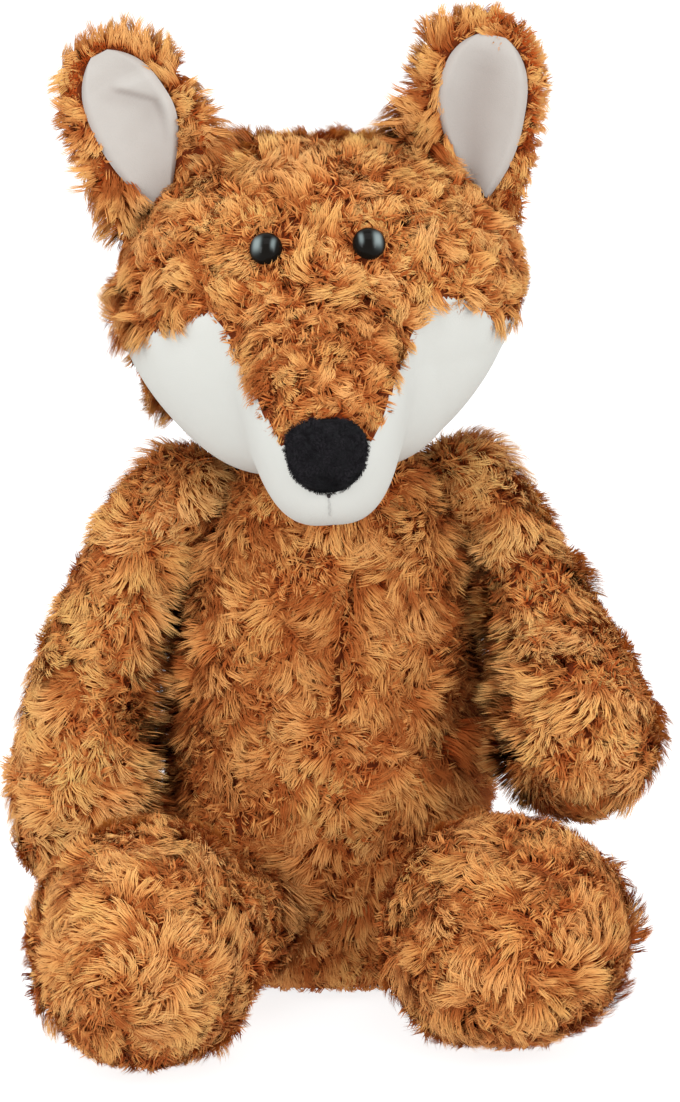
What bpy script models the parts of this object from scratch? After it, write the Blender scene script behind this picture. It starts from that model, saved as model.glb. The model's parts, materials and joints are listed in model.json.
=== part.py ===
"""Sitting plush fox: sewn fur panels round fibre fillings, safety eyes and a felt nose.

Metres, +Z up. The fox faces -Y and its right-hand side in the picture is +X. Every form is a ball
from Blender's primitive, drawn into shape by a function, then split along its seams into panels.
"""

import math

import bmesh
import bpy
import numpy as np
from mathutils import Matrix, Vector
from mathutils.bvhtree import BVHTree
from mathutils.geometry import closest_point_on_tri

MM = 0.001
DEPTH = Vector((0, 1, 0))
HEIGHT = Vector((0, 0, 1))

# Cloth, seams and the room between layers
FUR_THICK = 3.0 * MM
MINKY_THICK = 1.6 * MM
SEAM_GAP = 0.4 * MM
LAYER_GAP = 0.45 * MM
LOOSE_GAP = 1.5 * MM

# Torso: height, half width, front and back half depth, from seat to neck
TORSO_SECTIONS = [
    (0.0, 35.0, 34.0, 28.0),
    (8.0, 42.0, 41.0, 34.0),
    (30.0, 45.0, 43.0, 37.0),
    (62.0, 45.5, 41.0, 37.0),
    (95.0, 43.0, 36.0, 34.0),
    (119.0, 40.0, 32.0, 31.0),
    (136.0, 34.0, 28.0, 28.0),
    (147.0, 28.0, 23.5, 24.0),
    (150.0, 25.0, 21.0, 21.0),
]
TORSO_SQUARENESS = 2.3
TORSO_YAW = math.radians(8)
NECK_HEIGHT = 150.0 * MM
NECK_REACH = 27 * MM
NECK_SLOPE = 0.5
RING_CROWDING = 0.9
POUCH_TOP = 31.0 * MM
TORSO_RINGS = 15
SEAT_EDGE = 5 * MM
SEAT_LEVEL = 1 * MM

# How a form is pressed in round a limb's root: rounds, how softly, and the last bit of room
PRESS_ROUNDS = 80
SMOOTH_ROUNDS = 24
SMOOTH_SHARE = 0.35
PRESS_SOFTNESS = 2 * MM
PRESS_EXTRA = 0.02 * MM

# Head: half sizes of the skull, the snout's reach and the width of its bulge by angle
HEAD_CENTRE = Vector((0.8, -5, 195)) * MM
HEAD_HALF = Vector((57.8, 46, 49)) * MM
CROWN_HALF_HEIGHT = 46 * MM
CROWN_SQUARENESS = 2.25
CHEEK_SQUARENESS = 1.65
HEAD_ROLL = math.radians(-2.8)
HEAD_YAW = math.radians(0.2)
SNOUT_PITCH = math.radians(27.5)
SNOUT_REACH = 40 * MM
SNOUT_SPREAD_SIDE = math.radians(22)
SNOUT_SPREAD_UP = math.radians(30)
SNOUT_SPREAD_DOWN = math.radians(24)
SNOUT_SHARPNESS = 2.6
SNOUT_SQUARENESS = 2.8
CHEEK_FULLNESS = 1.2
JOWL_FULL = {-1: 5.0 * MM, 1: 4.5 * MM}
JOWL_AT = (math.radians(40), math.radians(-20))
JOWL_SPREAD = (math.radians(21), math.radians(19))
SNOUT_CROWDING = 1.12

# Seams of the head, in the head's own front view: x and z from the head's centre
BACK_SEAM_Y = 2.0 * MM
CHEEK_TOP_SEAM = {-1: ((51, -4.5), (30, 4.5)), 1: ((51, -0.5), (30, 6))}
BRIDGE_SEAM = ((27, 0), (12, -27))
BRIDGE_END_Z = -27 * MM
SEAM_SNAP = 0.4 * MM
SHORTEST_EDGE = 0.5 * MM

# Nose pad, eyes and ears
NOSE_HALF = (10.8, 10.4)
NOSE_THICK = 3.6 * MM
NOSE_RISE = -29.5 * MM
NOSE_TAPER = 0.16
NOSE_CORNERS = 0.84
NOSE_DOME = 0.8
EYE_RADIUS = 4.6 * MM
EYE_DOME = 0.82
EYE_GAP = 0.35 * MM
EYE_SPREAD = 14.0 * MM
EYE_RISE = 21.0 * MM
STEM_RADIUS = 1.6 * MM
WASHER_RADIUS = 5.5 * MM
WASHER_THICK = 1.3 * MM
WASHER_DEPTH = 0.9 * MM
STEM_END = 2 * MM
WASHER_PLAY = 0.15 * MM
HOLE_PLAY = 0.6 * MM
EAR_HEIGHT = 44.5 * MM
EAR_HALF_WIDTH = 17.5 * MM
EAR_CUP = 7 * MM
EAR_FLATTENING = 0.35
EAR_BACK_THICK = 4 * MM
EAR_LEAN = {-1: math.radians(25), 1: math.radians(17.5)}
EAR_BASE = Vector((41, -2, 35.0)) * MM
EAR_ROOT_GAP = 1.3 * MM
EAR_LOWEST = -0.3
LINING_TOP = 0.88
LINING_OUTER = (-0.50, -0.80)
LINING_INNER = (0.02, 0.55)
LINING_FULL_AT = 0.55

# Limbs: points of the middle line with the half width and half height of the section there
ARM_LEFT = [
    (-40, -5.5, 138.5, 14.5, 14.5),
    (-51.5, -6, 127, 14, 13.5),
    (-60.3, -9, 107, 14.7, 15),
    (-66.6, -14, 84, 17.5, 17.5),
    (-69.5, -19, 60, 20, 20),
    (-69, -21, 47, 19.5, 20),
]
ARM_RIGHT = [
    (40, 5.5, 139.5, 14.5, 14.5),
    (50.6, -0.5, 127.5, 12.8, 13.2),
    (59.6, -12, 109, 15.5, 15),
    (66.6, -26, 92.5, 18.6, 17.5),
    (70, -40, 82, 21.5, 20),
    (71, -46, 77, 21.5, 20),
]
LEG_LEFT = [
    (-23, -44.5, 24.5, 16.5, 16.5),
    (-30, -56, 25, 18, 19),
    (-38, -71, 29, 21, 24),
    (-44.5, -84, 33, 28.5, 31),
    (-48.5, -97, 33, 32, 33.5),
    (-50, -107, 33, 27, 30),
]
LEG_RIGHT = [
    (34.5, -36.5, 24.5, 16.5, 16.5),
    (38, -47, 26, 19, 20),
    (42, -57, 29, 23, 24),
    (46, -67, 31, 30, 30),
    (49, -79, 31.5, 35, 32),
    (51, -89, 31.5, 31, 28),
]
TAIL = [
    (-6, 41, 24, 11, 11),
    (-7, 56, 20, 14, 14),
    (-6, 76, 19, 19, 19),
    (0, 96, 20, 20, 20),
    (8, 112, 17, 15, 16),
    (14, 122, 13, 9, 10),
]
TAIL_TIP_FROM = 4.1
POCKET_GAP = 1.2 * MM
TOUCH_GAP = 1.3 * MM
LIMB_FILLING_GAP = 2.1 * MM
HIP_RANGE = (0, 12)
TAIL_RANGE = (0, 25, 45)

# Joint axes
HEAD_PIVOT = Vector((0, 0, 150)) * MM

FUR = ("fur", (0.50, 0.21, 0.06), 0.95)
MINKY = ("white_plush", (0.80, 0.80, 0.81), 0.9)
LINING = ("ear_lining", (0.70, 0.68, 0.67), 0.9)
TIP_FUR = ("tail_tip_fur", (0.78, 0.70, 0.60), 0.95)
FELT = ("nose_felt", (0.012, 0.012, 0.014), 0.95)
EYE_PLASTIC = ("eye_plastic", (0.006, 0.004, 0.004), 0.12)
WASHER_PLASTIC = ("washer_plastic", (0.8, 0.8, 0.78), 0.5)
FIBRE = ("fibre_filling", (0.86, 0.86, 0.84), 1.0)
POUCH_CLOTH = ("pouch_cloth", (0.75, 0.74, 0.70), 0.95)


def start_clean():
    """Remove what the file holds and make the two collections."""
    for obj in list(bpy.data.objects):
        bpy.data.objects.remove(obj, do_unlink=True)
    made = []
    for name in ("plush_fox", "cutters"):
        group = bpy.data.collections.new(name)
        bpy.context.scene.collection.children.link(group)
        made.append(group)
    return made


PARTS, CUTTERS = start_clean()


def material(finish):
    """A Principled material of one named finish."""
    name, colour, roughness = finish
    found = bpy.data.materials.get(name)
    if found:
        return found
    made = bpy.data.materials.new(name)
    made.use_nodes = True
    shader = made.node_tree.nodes["Principled BSDF"]
    shader.inputs["Base Color"].default_value = (*colour, 1)
    shader.inputs["Roughness"].default_value = roughness
    shader.inputs["Metallic"].default_value = 0
    return made


def add_object(name, bm, finish):
    """Make a smooth-shaded object of the parts collection from a bmesh."""
    mesh = bpy.data.meshes.new(name)
    bm.to_mesh(mesh)
    bm.free()
    mesh.shade_smooth()
    mesh.set_sharp_from_angle(angle=math.radians(50))
    mesh.materials.append(material(finish))
    obj = bpy.data.objects.new(name, mesh)
    PARTS.objects.link(obj)
    return obj


def smooth_curve(points, t):
    """A point of the Catmull-Rom curve through the given points, with t counted in points."""
    rows = np.array(points, float)
    rows = np.vstack([2 * rows[0] - rows[1], rows, 2 * rows[-1] - rows[-2]])
    last = len(points) - 1
    i = min(max(int(t), 0), last - 1)
    f = min(max(t, 0), last) - i
    p0, p1, p2, p3 = rows[i : i + 4]
    return 0.5 * (
        2 * p1
        + (p2 - p0) * f
        + (2 * p0 - 5 * p1 + 4 * p2 - p3) * f**2
        + (3 * p1 - p0 - 3 * p2 + p3) * f**3
    )


def shaped_ball(segments, rings, place):
    """A primitive ball whose points move to place(t, turn): t from 0 at one pole to 1 at the other."""
    bm = bmesh.new()
    bmesh.ops.create_uvsphere(bm, u_segments=segments, v_segments=rings, radius=1)
    marks = bm.faces.layers.int.new("turn")
    for face in bm.faces:
        middle = face.calc_center_median()
        face[marks] = int((math.degrees(math.atan2(middle.y, middle.x)) + 360) % 360)
    for vert in bm.verts:
        t = math.acos(max(-1, min(1, -vert.co.z))) / math.pi
        vert.co = place(t, math.atan2(vert.co.y, vert.co.x))
    bm.normal_update()
    if bm.calc_volume(signed=True) < 0:
        bmesh.ops.reverse_faces(bm, faces=bm.faces)
    return bm


def inward_moves(bm, depth):
    """For each point, the move that brings its faces about depth below where they are."""
    bm.normal_update()
    return [vert.normal * (-depth * min(vert.calc_shell_factor(), 1.6)) for vert in bm.verts]


def inset(bm, depth):
    """Move a closed form's whole surface inward by a depth."""
    for vert, move in zip(bm.verts, inward_moves(bm, depth)):
        vert.co += move


def mark_inside(bm):
    """Note on each point of a closed form which way is inward, for the panels cut from it."""
    inside = bm.verts.layers.float_vector.new("inside")
    for vert, move in zip(bm.verts, inward_moves(bm, 1.0)):
        vert[inside] = move


def thicken(bm, thickness):
    """Give a panel its cloth thickness: its surface again, drawn inward, and a rim between."""
    inside = bm.verts.layers.float_vector["inside"]
    grown = bmesh.ops.extrude_face_region(bm, geom=bm.faces[:], use_keep_orig=True)
    for item in grown["geom"]:
        if isinstance(item, bmesh.types.BMVert):
            item.co += item[inside] * thickness
    bmesh.ops.recalc_face_normals(bm, faces=bm.faces)
    if bm.calc_volume(signed=True) < 0:
        bmesh.ops.reverse_faces(bm, faces=bm.faces)


def shrink_border(bm, width):
    """Draw an open surface's border inward along the surface, which leaves a seam's room."""
    bm.normal_update()
    pull = {}
    for edge in bm.edges:
        if not edge.is_boundary:
            continue
        face = edge.link_faces[0]
        along = (edge.verts[1].co - edge.verts[0].co).normalized()
        inward = face.normal.cross(along)
        middle = (edge.verts[0].co + edge.verts[1].co) / 2
        if inward.dot(face.calc_center_median() - middle) < 0:
            inward = -inward
        for vert in edge.verts:
            pull.setdefault(vert, []).append(inward)
    for vert, directions in pull.items():
        total = sum(directions, Vector())
        if total.length < 1e-6:
            continue
        step = total.normalized()
        sharp = max(0.5, min(step.dot(d) for d in directions))
        vert.co += step * (width / sharp)


def split_panels(bm, label):
    """Open surfaces, one for each name that label(face) gives, with a gap along their seams."""
    names = {face.index: label(face) for face in bm.faces}
    mark_inside(bm)
    panels = {}
    for name in sorted(set(names.values())):
        part = bm.copy()
        part.faces.ensure_lookup_table()
        others = [f for f in part.faces if names[f.index] != name]
        bmesh.ops.delete(part, geom=others, context="FACES")
        shrink_border(part, SEAM_GAP / 2)
        panels[name] = part
    return panels


def face_turn(bm):
    """A function that gives the turn, in degrees, which a face had on the primitive ball."""
    marks = bm.faces.layers.int["turn"]
    return lambda face: face[marks]


def settle(point, floor=0.0):
    """The point, no lower than the floor: the fabric lies flat there."""
    return Vector((point.x, point.y, max(point.z, floor)))


def swung(path, row, angles, axis):
    """Balls that hold one section of a limb when the limb is swung about its root to each angle."""
    root, here = Vector(path[0][:3]), Vector(path[row][:3])
    radius = max(path[row][3:])
    turns = [Matrix.Rotation(math.radians(angle), 3, axis) for angle in angles]
    return [((root + turn @ (here - root)) * MM, radius * MM) for turn in turns]


def limb_roots():
    """Centre and radius of each ball that the torso holds a hollow for."""
    balls = []
    for path in (ARM_LEFT, ARM_RIGHT):
        balls += swung(path, 0, (0,), "X")
    for path in (LEG_LEFT, LEG_RIGHT):
        balls += swung(path, 0, (0,), "X") + swung(path, 1, [-a for a in HIP_RANGE], "X")
    balls += swung(TAIL, 0, (0,), "X") + swung(TAIL, 1, TAIL_RANGE, "X")
    return balls


def corner_sets(face):
    """Every triangle that a face of three or four corners may be split into."""
    verts = list(face.verts)
    if len(verts) == 3:
        return [verts]
    return [[verts[i] for i in range(4) if i != left_out] for left_out in range(4)]


def press(corners, centre, reach, low, high):
    """Move a triangle's corners, the nearest ones most, until it stays out of a ball.

    A corner under the low height stays where it is, and none leaves the span from low to high.
    """
    near = closest_point_on_tri(centre, *(vert.co for vert in corners))
    short = reach - (near - centre).length
    if short <= 0:
        return False
    away = (near - centre).normalized()
    shares = [1 / ((vert.co - near).length + PRESS_SOFTNESS) for vert in corners]
    for vert, share in zip(corners, shares):
        if vert.co.z < low:
            continue
        vert.co += away * (short + PRESS_EXTRA) * share / max(shares)
        vert.co.z = min(max(vert.co.z, low), high)
    return True


def hollow(bm, balls, gap, low, high):
    """Press a form's surface in, smoothly, until no face reaches nearer than a gap to any ball."""
    for turn in range(PRESS_ROUNDS):
        pressed = set()
        for face in bm.faces:
            for corners in corner_sets(face):
                for centre, radius in balls:
                    if press(corners, centre, radius + gap, low, high):
                        pressed.update(corners)
        if not pressed:
            return
        if turn < SMOOTH_ROUNDS:
            ring = {edge.other_vert(vert) for vert in pressed for edge in vert.link_edges}
            around = [v for v in pressed | ring if low < v.co.z < high - SEAT_LEVEL]
            around.sort(key=lambda vert: vert.index)
            bmesh.ops.smooth_vert(
                bm,
                verts=around,
                factor=SMOOTH_SHARE,
                use_axis_x=True,
                use_axis_y=True,
                use_axis_z=True,
            )


def torso_outline(z):
    """Half width, front and back half depth of the torso at a height."""
    heights = [row[0] * MM for row in TORSO_SECTIONS]
    at = float(np.interp(z, heights, range(len(heights))))
    return smooth_curve(TORSO_SECTIONS, at)[1:] * MM


def clear_of_torso(point, gap):
    """The point, or where it is nearer the torso than the gap, one level with it that isn't."""
    if point.z > NECK_HEIGHT:
        return point
    turned_back = Matrix.Rotation(-TORSO_YAW, 3, "Z") @ point
    side, front, back = torso_outline(point.z)
    deep = front if turned_back.y < 0 else back
    across, along = abs(turned_back.x) / (side + gap), abs(turned_back.y) / (deep + gap)
    inside = (across**TORSO_SQUARENESS + along**TORSO_SQUARENESS) ** (1 / TORSO_SQUARENESS)
    if inside >= 1:
        return point
    return Vector((point.x / inside, point.y / inside, point.z))


def torso_place(rings):
    """The torso's surface from the seat to the neck, before the limb roots press it in."""
    flat = 1 / rings

    def place(t, turn):
        share = min(max((t - flat) / (1 - 2 * flat), 0), 1)
        ends = min(t / flat, (1 - t) / flat, 1)
        z = NECK_HEIGHT * (0.5 - 0.5 * math.cos(math.pi * share)) ** RING_CROWDING
        side, front, back = torso_outline(z)
        deep = front if math.sin(turn) < 0 else back
        power = 2 / TORSO_SQUARENESS
        c, s = math.cos(turn), math.sin(turn)
        x = math.copysign(abs(c) ** power, c) * side * ends
        y = math.copysign(abs(s) ** power, s) * deep * ends
        return Matrix.Rotation(TORSO_YAW, 3, "Z") @ Vector((x, y, z))

    return place


def torso_label(bm):
    """Names for the torso's panels: seat below, chest in front, back behind, seams between."""
    turn = face_turn(bm)

    def label(face):
        if all(v.co.z < SEAT_LEVEL for v in face.verts):
            return "seat_panel"
        at = turn(face)
        side = "left" if 90 <= at < 270 else "right"
        return f"back_panel_{side}" if at < 180 else f"chest_panel_{side}"

    return label


def build_torso():
    """Chest, back and seat panels round a fibre filling that sits on a bean pouch."""
    made = []
    bm = shaped_ball(24, TORSO_RINGS, torso_place(TORSO_RINGS))
    hollow(bm, limb_roots(), POCKET_GAP, SEAT_EDGE, NECK_HEIGHT)
    for name, panel in split_panels(bm, torso_label(bm)).items():
        thicken(panel, FUR_THICK)
        made.append(add_object(name, panel, FUR))
    inset(bm, FUR_THICK + LOOSE_GAP)
    for name, height, upper, finish in (
        ("bean_pouch", POUCH_TOP, False, POUCH_CLOTH),
        ("body_filling", POUCH_TOP + LAYER_GAP, True, FIBRE),
    ):
        half = bm.copy()
        level = Vector((0, 0, height))
        everything = half.verts[:] + half.edges[:] + half.faces[:]
        cut = bmesh.ops.bisect_plane(
            half, geom=everything, plane_co=level, plane_no=HEIGHT, clear_inner=upper, clear_outer=not upper
        )
        rim = [item for item in cut["geom_cut"] if isinstance(item, bmesh.types.BMEdge)]
        bmesh.ops.contextual_create(half, geom=rim)
        bmesh.ops.recalc_face_normals(half, faces=half.faces)
        if half.calc_volume(signed=True) < 0:
            bmesh.ops.reverse_faces(half, faces=half.faces)
        made.append(add_object(name, half, finish))
    bm.free()
    return made


def head_radius(direction):
    """Distance from the head's centre to its surface: a squarish skull with snout and jowls."""
    ahead = max(-direction.y, 1e-6)
    half_z = CROWN_HALF_HEIGHT if direction.z > 0 else HEAD_HALF.z
    power = CROWN_SQUARENESS if direction.z > 0 else CHEEK_SQUARENESS + CHEEK_FULLNESS * ahead
    x, y, z = abs(direction.x) / HEAD_HALF.x, abs(direction.y) / HEAD_HALF.y, abs(direction.z) / half_z
    flat = (x**power + z**power) ** (1 / power)
    skull = 1 / math.sqrt(flat**2 + y**2)
    side = math.atan2(direction.x, ahead)
    rise = math.asin(max(-1, min(1, direction.z))) + SNOUT_PITCH
    spread_z = SNOUT_SPREAD_UP if rise > 0 else SNOUT_SPREAD_DOWN
    m = SNOUT_SQUARENESS
    away = (abs(side / SNOUT_SPREAD_SIDE) ** m + abs(rise / spread_z) ** m) ** (1 / m)
    if direction.y > 0:
        return skull
    off_side = (abs(side) - JOWL_AT[0]) / JOWL_SPREAD[0]
    off_rise = (rise - JOWL_AT[1]) / JOWL_SPREAD[1]
    jowl = JOWL_FULL[-1 if direction.x < 0 else 1] * math.exp(-(off_side**2) - off_rise**2)
    return skull + SNOUT_REACH * math.exp(-(away**SNOUT_SHARPNESS)) + jowl


def roll_head(point):
    """Lean a point of the upright head to its rest, about the neck."""
    lean = Matrix.Rotation(HEAD_YAW, 3, "Z") @ Matrix.Rotation(HEAD_ROLL, 3, "Y")
    return lean @ (point - HEAD_PIVOT) + HEAD_PIVOT


def neck_floor(point, lift):
    """How low the head may reach: flat over the neck, and lower with the distance from it."""
    away = math.hypot(point.x, point.y) - NECK_REACH
    return NECK_HEIGHT + lift - max(0, away) * NECK_SLOPE


def head_place(t, turn):
    """The upright head's surface, with the primitive's poles at the snout's tip and behind."""
    angle = math.pi * (t**SNOUT_CROWDING)
    tilt = Matrix.Rotation(-math.pi / 2 + SNOUT_PITCH, 3, "X")
    ball = Vector((math.sin(angle) * math.cos(turn), math.sin(angle) * math.sin(turn), -math.cos(angle)))
    direction = tilt @ ball
    return HEAD_CENTRE + direction * head_radius(direction)


def seam_plane(seam, side):
    """A point and normal of the upright plane through a seam line of the head's front view."""
    (x0, z0), (x1, z1) = seam
    start = HEAD_CENTRE + Vector((side * x0, 0, z0)) * MM
    along = Vector((side * (x1 - x0), 0, z1 - z0)).normalized()
    return start, along.cross(Vector((0, 1, 0)))


def head_planes():
    """Every plane that a seam of the head lies in."""
    planes = [
        (Vector((0, BACK_SEAM_Y, 0)), Vector((0, 1, 0))),
        (HEAD_CENTRE.copy(), Vector((1, 0, 0))),
        (HEAD_CENTRE + Vector((0, 0, BRIDGE_END_Z)), Vector((0, 0, 1))),
    ]
    for side in (-1, 1):
        planes.append(seam_plane(CHEEK_TOP_SEAM[side], side))
        planes.append(seam_plane(BRIDGE_SEAM, side))
    return planes


def head_label(face):
    """The panel that a face of the head belongs to."""
    at = face.calc_center_median()
    side = "left" if at.x < 0 else "right"
    sign = -1 if at.x < 0 else 1
    if at.y > BACK_SEAM_Y:
        return f"head_back_{side}"
    top, top_normal = seam_plane(CHEEK_TOP_SEAM[sign], sign)
    bridge, bridge_normal = seam_plane(BRIDGE_SEAM, sign)
    top_normal *= math.copysign(1, top_normal.z)
    bridge_normal *= math.copysign(1, bridge_normal.x * sign)
    under = (at - top).dot(top_normal) < 0
    beside = (at - bridge).dot(bridge_normal) > 0
    below = at.z < HEAD_CENTRE.z + BRIDGE_END_Z
    return f"cheek_{side}" if under and (beside or below) else "face_panel"


def head_mesh(segments, rings, depth):
    """The head's outer surface, or one that lies depth inside it, leaned and flat at the neck."""
    bm = shaped_ball(segments, rings, head_place)
    if depth:
        inset(bm, depth)
    return bm


def lean_and_seat(bm, lift):
    """Lean the upright head to its rest and lay it on the neck, a lift above it."""
    for vert in bm.verts:
        point = roll_head(vert.co)
        vert.co = settle(point, neck_floor(point, lift))


def build_head():
    """Face, cheeks and back panels round the head's filling."""
    made = []
    bm = head_mesh(28, 17, 0)
    for point, normal in head_planes():
        geometry = bm.verts[:] + bm.edges[:] + bm.faces[:]
        bmesh.ops.bisect_plane(bm, geom=geometry, dist=SEAM_SNAP, plane_co=point, plane_no=normal)
    bmesh.ops.remove_doubles(bm, verts=bm.verts, dist=SHORTEST_EDGE)
    bm.normal_update()
    bm.faces.index_update()
    names = {face.index: head_label(face) for face in bm.faces}
    lean_and_seat(bm, LAYER_GAP)
    for name, panel in split_panels(bm, lambda face: names[face.index]).items():
        white = name.startswith("cheek")
        thicken(panel, MINKY_THICK if white else FUR_THICK)
        made.append(add_object(name, panel, MINKY if white else FUR))
    tree = BVHTree.FromBMesh(bm)
    bm.free()
    washers = []
    for side in (-1, 1):
        pieces, held = build_eye(side, tree)
        made += pieces
        washers.append(held)
    core = head_mesh(20, 12, FUR_THICK + LOOSE_GAP)
    lean_and_seat(core, FUR_THICK + LOOSE_GAP)
    hollow(core, washers, LAYER_GAP, NECK_HEIGHT, NECK_HEIGHT * 2)
    made.append(add_object("head_filling", core, FIBRE))
    return made


def head_point(x, z):
    """The point of the upright head's front that shows at x and z from its centre."""
    low, high = 0.0, 0.12
    for _ in range(40):
        y = (low + high) / 2
        offset = Vector((x, -y, z))
        if offset.length < head_radius(offset.normalized()):
            low = y
        else:
            high = y
    return HEAD_CENTRE + Vector((x, -low, z))


def outward(x, z):
    """The direction that faces out of the head at that point of its front."""
    step = 1.5 * MM
    across = head_point(x + step, z) - head_point(x - step, z)
    up = head_point(x, z + step) - head_point(x, z - step)
    return across.cross(up).normalized()


def facing(direction):
    """A rotation that turns +Z to a direction and keeps +Y as far up as it goes."""
    return direction.to_track_quat("Z", "Y").to_matrix().to_4x4()


def turned(name, profile, steps, finish):
    """An object that is turned round +Z from a profile of radius and height, top to bottom."""
    bm = bmesh.new()
    verts = [bm.verts.new((r, 0, z)) for r, z in profile]
    for a, b in zip(verts, verts[1:]):
        bm.edges.new((a, b))
    obj = add_object(name, bm, finish)
    screw = obj.modifiers.new("turn", "SCREW")
    screw.steps = steps
    screw.render_steps = steps
    screw.use_merge_vertices = True
    screw.merge_threshold = 0.00001
    screw.use_smooth_shade = True
    return obj


def eye_frame(side, tree):
    """The eye's frame on the leaned face, and how far the cloth rises and dips under it."""
    x, z = side * EYE_SPREAD, EYE_RISE
    point = roll_head(head_point(x, z))
    normal = (roll_head(head_point(x, z) + outward(x, z)) - point).normalized()
    turn = facing(normal)
    heights = []
    for step in range(12):
        angle = math.radians(30 * step)
        rim = Vector((math.cos(angle), math.sin(angle), 0)) * WASHER_RADIUS
        start = point + turn.to_3x3() @ rim + normal * 20 * MM
        heights.append(20 * MM - (start - tree.ray_cast(start, -normal)[0]).length)
    return Matrix.Translation(point) @ turn, max(*heights, 0), min(*heights, 0)


def build_eye(side, tree):
    """A safety eye on its stem through the face panel, its washer, and a ball that holds both."""
    word = "left" if side < 0 else "right"
    frame, rise, dip = eye_frame(side, tree)
    seat = rise + EYE_GAP
    top = dip - FUR_THICK - WASHER_DEPTH
    low = top - WASHER_THICK
    dome = [(0, seat + EYE_RADIUS * EYE_DOME)]
    for i in range(1, 5):
        angle = math.pi / 2 * i / 5
        dome.append((EYE_RADIUS * math.sin(angle), seat + EYE_RADIUS * EYE_DOME * math.cos(angle)))
    end = low - STEM_END
    dome += [(EYE_RADIUS, seat), (STEM_RADIUS, seat), (STEM_RADIUS, end), (0, end)]
    eye = turned(f"eye_{word}", dome, 14, EYE_PLASTIC)
    eye.matrix_world = frame
    bore = STEM_RADIUS + WASHER_PLAY
    ring = [(bore, top), (WASHER_RADIUS, top), (WASHER_RADIUS, low), (bore, low), (bore, top)]
    washer = turned(f"eye_washer_{word}", ring, 14, WASHER_PLASTIC)
    washer.matrix_world = frame
    cut_round(bpy.data.objects["face_panel"], frame, STEM_RADIUS + HOLE_PLAY, -end)
    return [eye, washer], (frame.translation, math.hypot(WASHER_RADIUS, low))


def cut_round(target, frame, radius, depth):
    """Cut a round hole into the target, down the frame's own axis."""
    bm = bmesh.new()
    bmesh.ops.create_cone(
        bm, cap_ends=True, segments=10, radius1=radius, radius2=radius, depth=depth * 2
    )
    mesh = bpy.data.meshes.new("round_cutter")
    bm.to_mesh(mesh)
    bm.free()
    cutter = bpy.data.objects.new(f"{target.name}_cutter", mesh)
    CUTTERS.objects.link(cutter)
    cutter.matrix_world = frame
    cutter.hide_render = True
    cutter.display_type = "WIRE"
    hole = target.modifiers.new("hole", "BOOLEAN")
    hole.operation = "DIFFERENCE"
    hole.object = cutter


def nose_half_width(turn):
    """The nose pad's outline: squarish, with round corners and wider above."""
    across, up = (math.copysign(abs(v) ** NOSE_CORNERS, v) for v in (math.cos(turn), math.sin(turn)))
    taper = 1 + NOSE_TAPER * up
    return Vector((NOSE_HALF[0] * across * taper, NOSE_HALF[1] * up)) * MM


def build_nose():
    """A stuffed felt pad that lies on the snout's tip."""
    segments, rings = 20, 4
    bm = bmesh.new()
    bmesh.ops.create_uvsphere(bm, u_segments=segments, v_segments=rings * 2, radius=1)
    for vert in bm.verts:
        turn = math.atan2(vert.co.y, vert.co.x)
        share = math.hypot(vert.co.x, vert.co.y)
        flat = nose_half_width(turn) * share
        base = head_point(flat.x, NOSE_RISE + flat.y)
        lift = EYE_GAP
        if vert.co.z > 0:
            lift += NOSE_THICK * (vert.co.z**NOSE_DOME)
        vert.co = roll_head(base + outward(flat.x, NOSE_RISE + flat.y) * lift)
    bm.normal_update()
    if bm.calc_volume(signed=True) < 0:
        bmesh.ops.reverse_faces(bm, faces=bm.faces)
    return [add_object("nose_pad", bm, FELT)]


def ear_surface(side, across, up, forward):
    """A point of an ear: across from -1 to 1, up from 0 at its base to 1, forward off its front."""
    half = EAR_HALF_WIDTH * math.sqrt(max(1 - max(up, 0) ** 3, 0))
    x = across * half
    cup = EAR_CUP * (1 - EAR_FLATTENING * up) * (x / EAR_HALF_WIDTH) ** 2
    lean = Matrix.Rotation(side * EAR_LEAN[side], 3, "Y")
    base = HEAD_CENTRE + Vector((side * EAR_BASE.x, EAR_BASE.y, EAR_BASE.z))
    return base + lean @ Vector((x, -cup - forward, EAR_HEIGHT * up))


def ear_root(side, across, forward, gap):
    """How far up an ear begins, at a place across it, to stand clear of the head."""
    low, high = EAR_LOWEST, 0.6
    for _ in range(30):
        up = (low + high) / 2
        offset = ear_surface(side, across, up, forward) - HEAD_CENTRE
        if offset.length > head_radius(offset.normalized()) + gap:
            high = up
        else:
            low = up
    return high


def ear_sheet(side, rows, columns, edges, top, forward, gap):
    """An ear-shaped open surface between two edges, each given across at the base and above.

    The outer edge comes first; top is how far up it ends, and forward moves it off the back.
    """
    bm = bmesh.new()
    bmesh.ops.create_grid(bm, x_segments=columns, y_segments=rows, size=1)
    for vert in bm.verts:
        rise = math.sin((vert.co.y + 1) * math.pi / 4)
        share = min(1, rise / LINING_FULL_AT)
        outer, inner = (low + (high - low) * math.sin(share * math.pi / 2) for low, high in edges)
        across = side * (-(outer + (inner - outer) * (vert.co.x + 1) / 2))
        root = ear_root(side, across, forward, gap)
        vert.co = ear_surface(side, across, root + (top - root) * rise, forward)
    bm.normal_update()
    return bm


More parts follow.
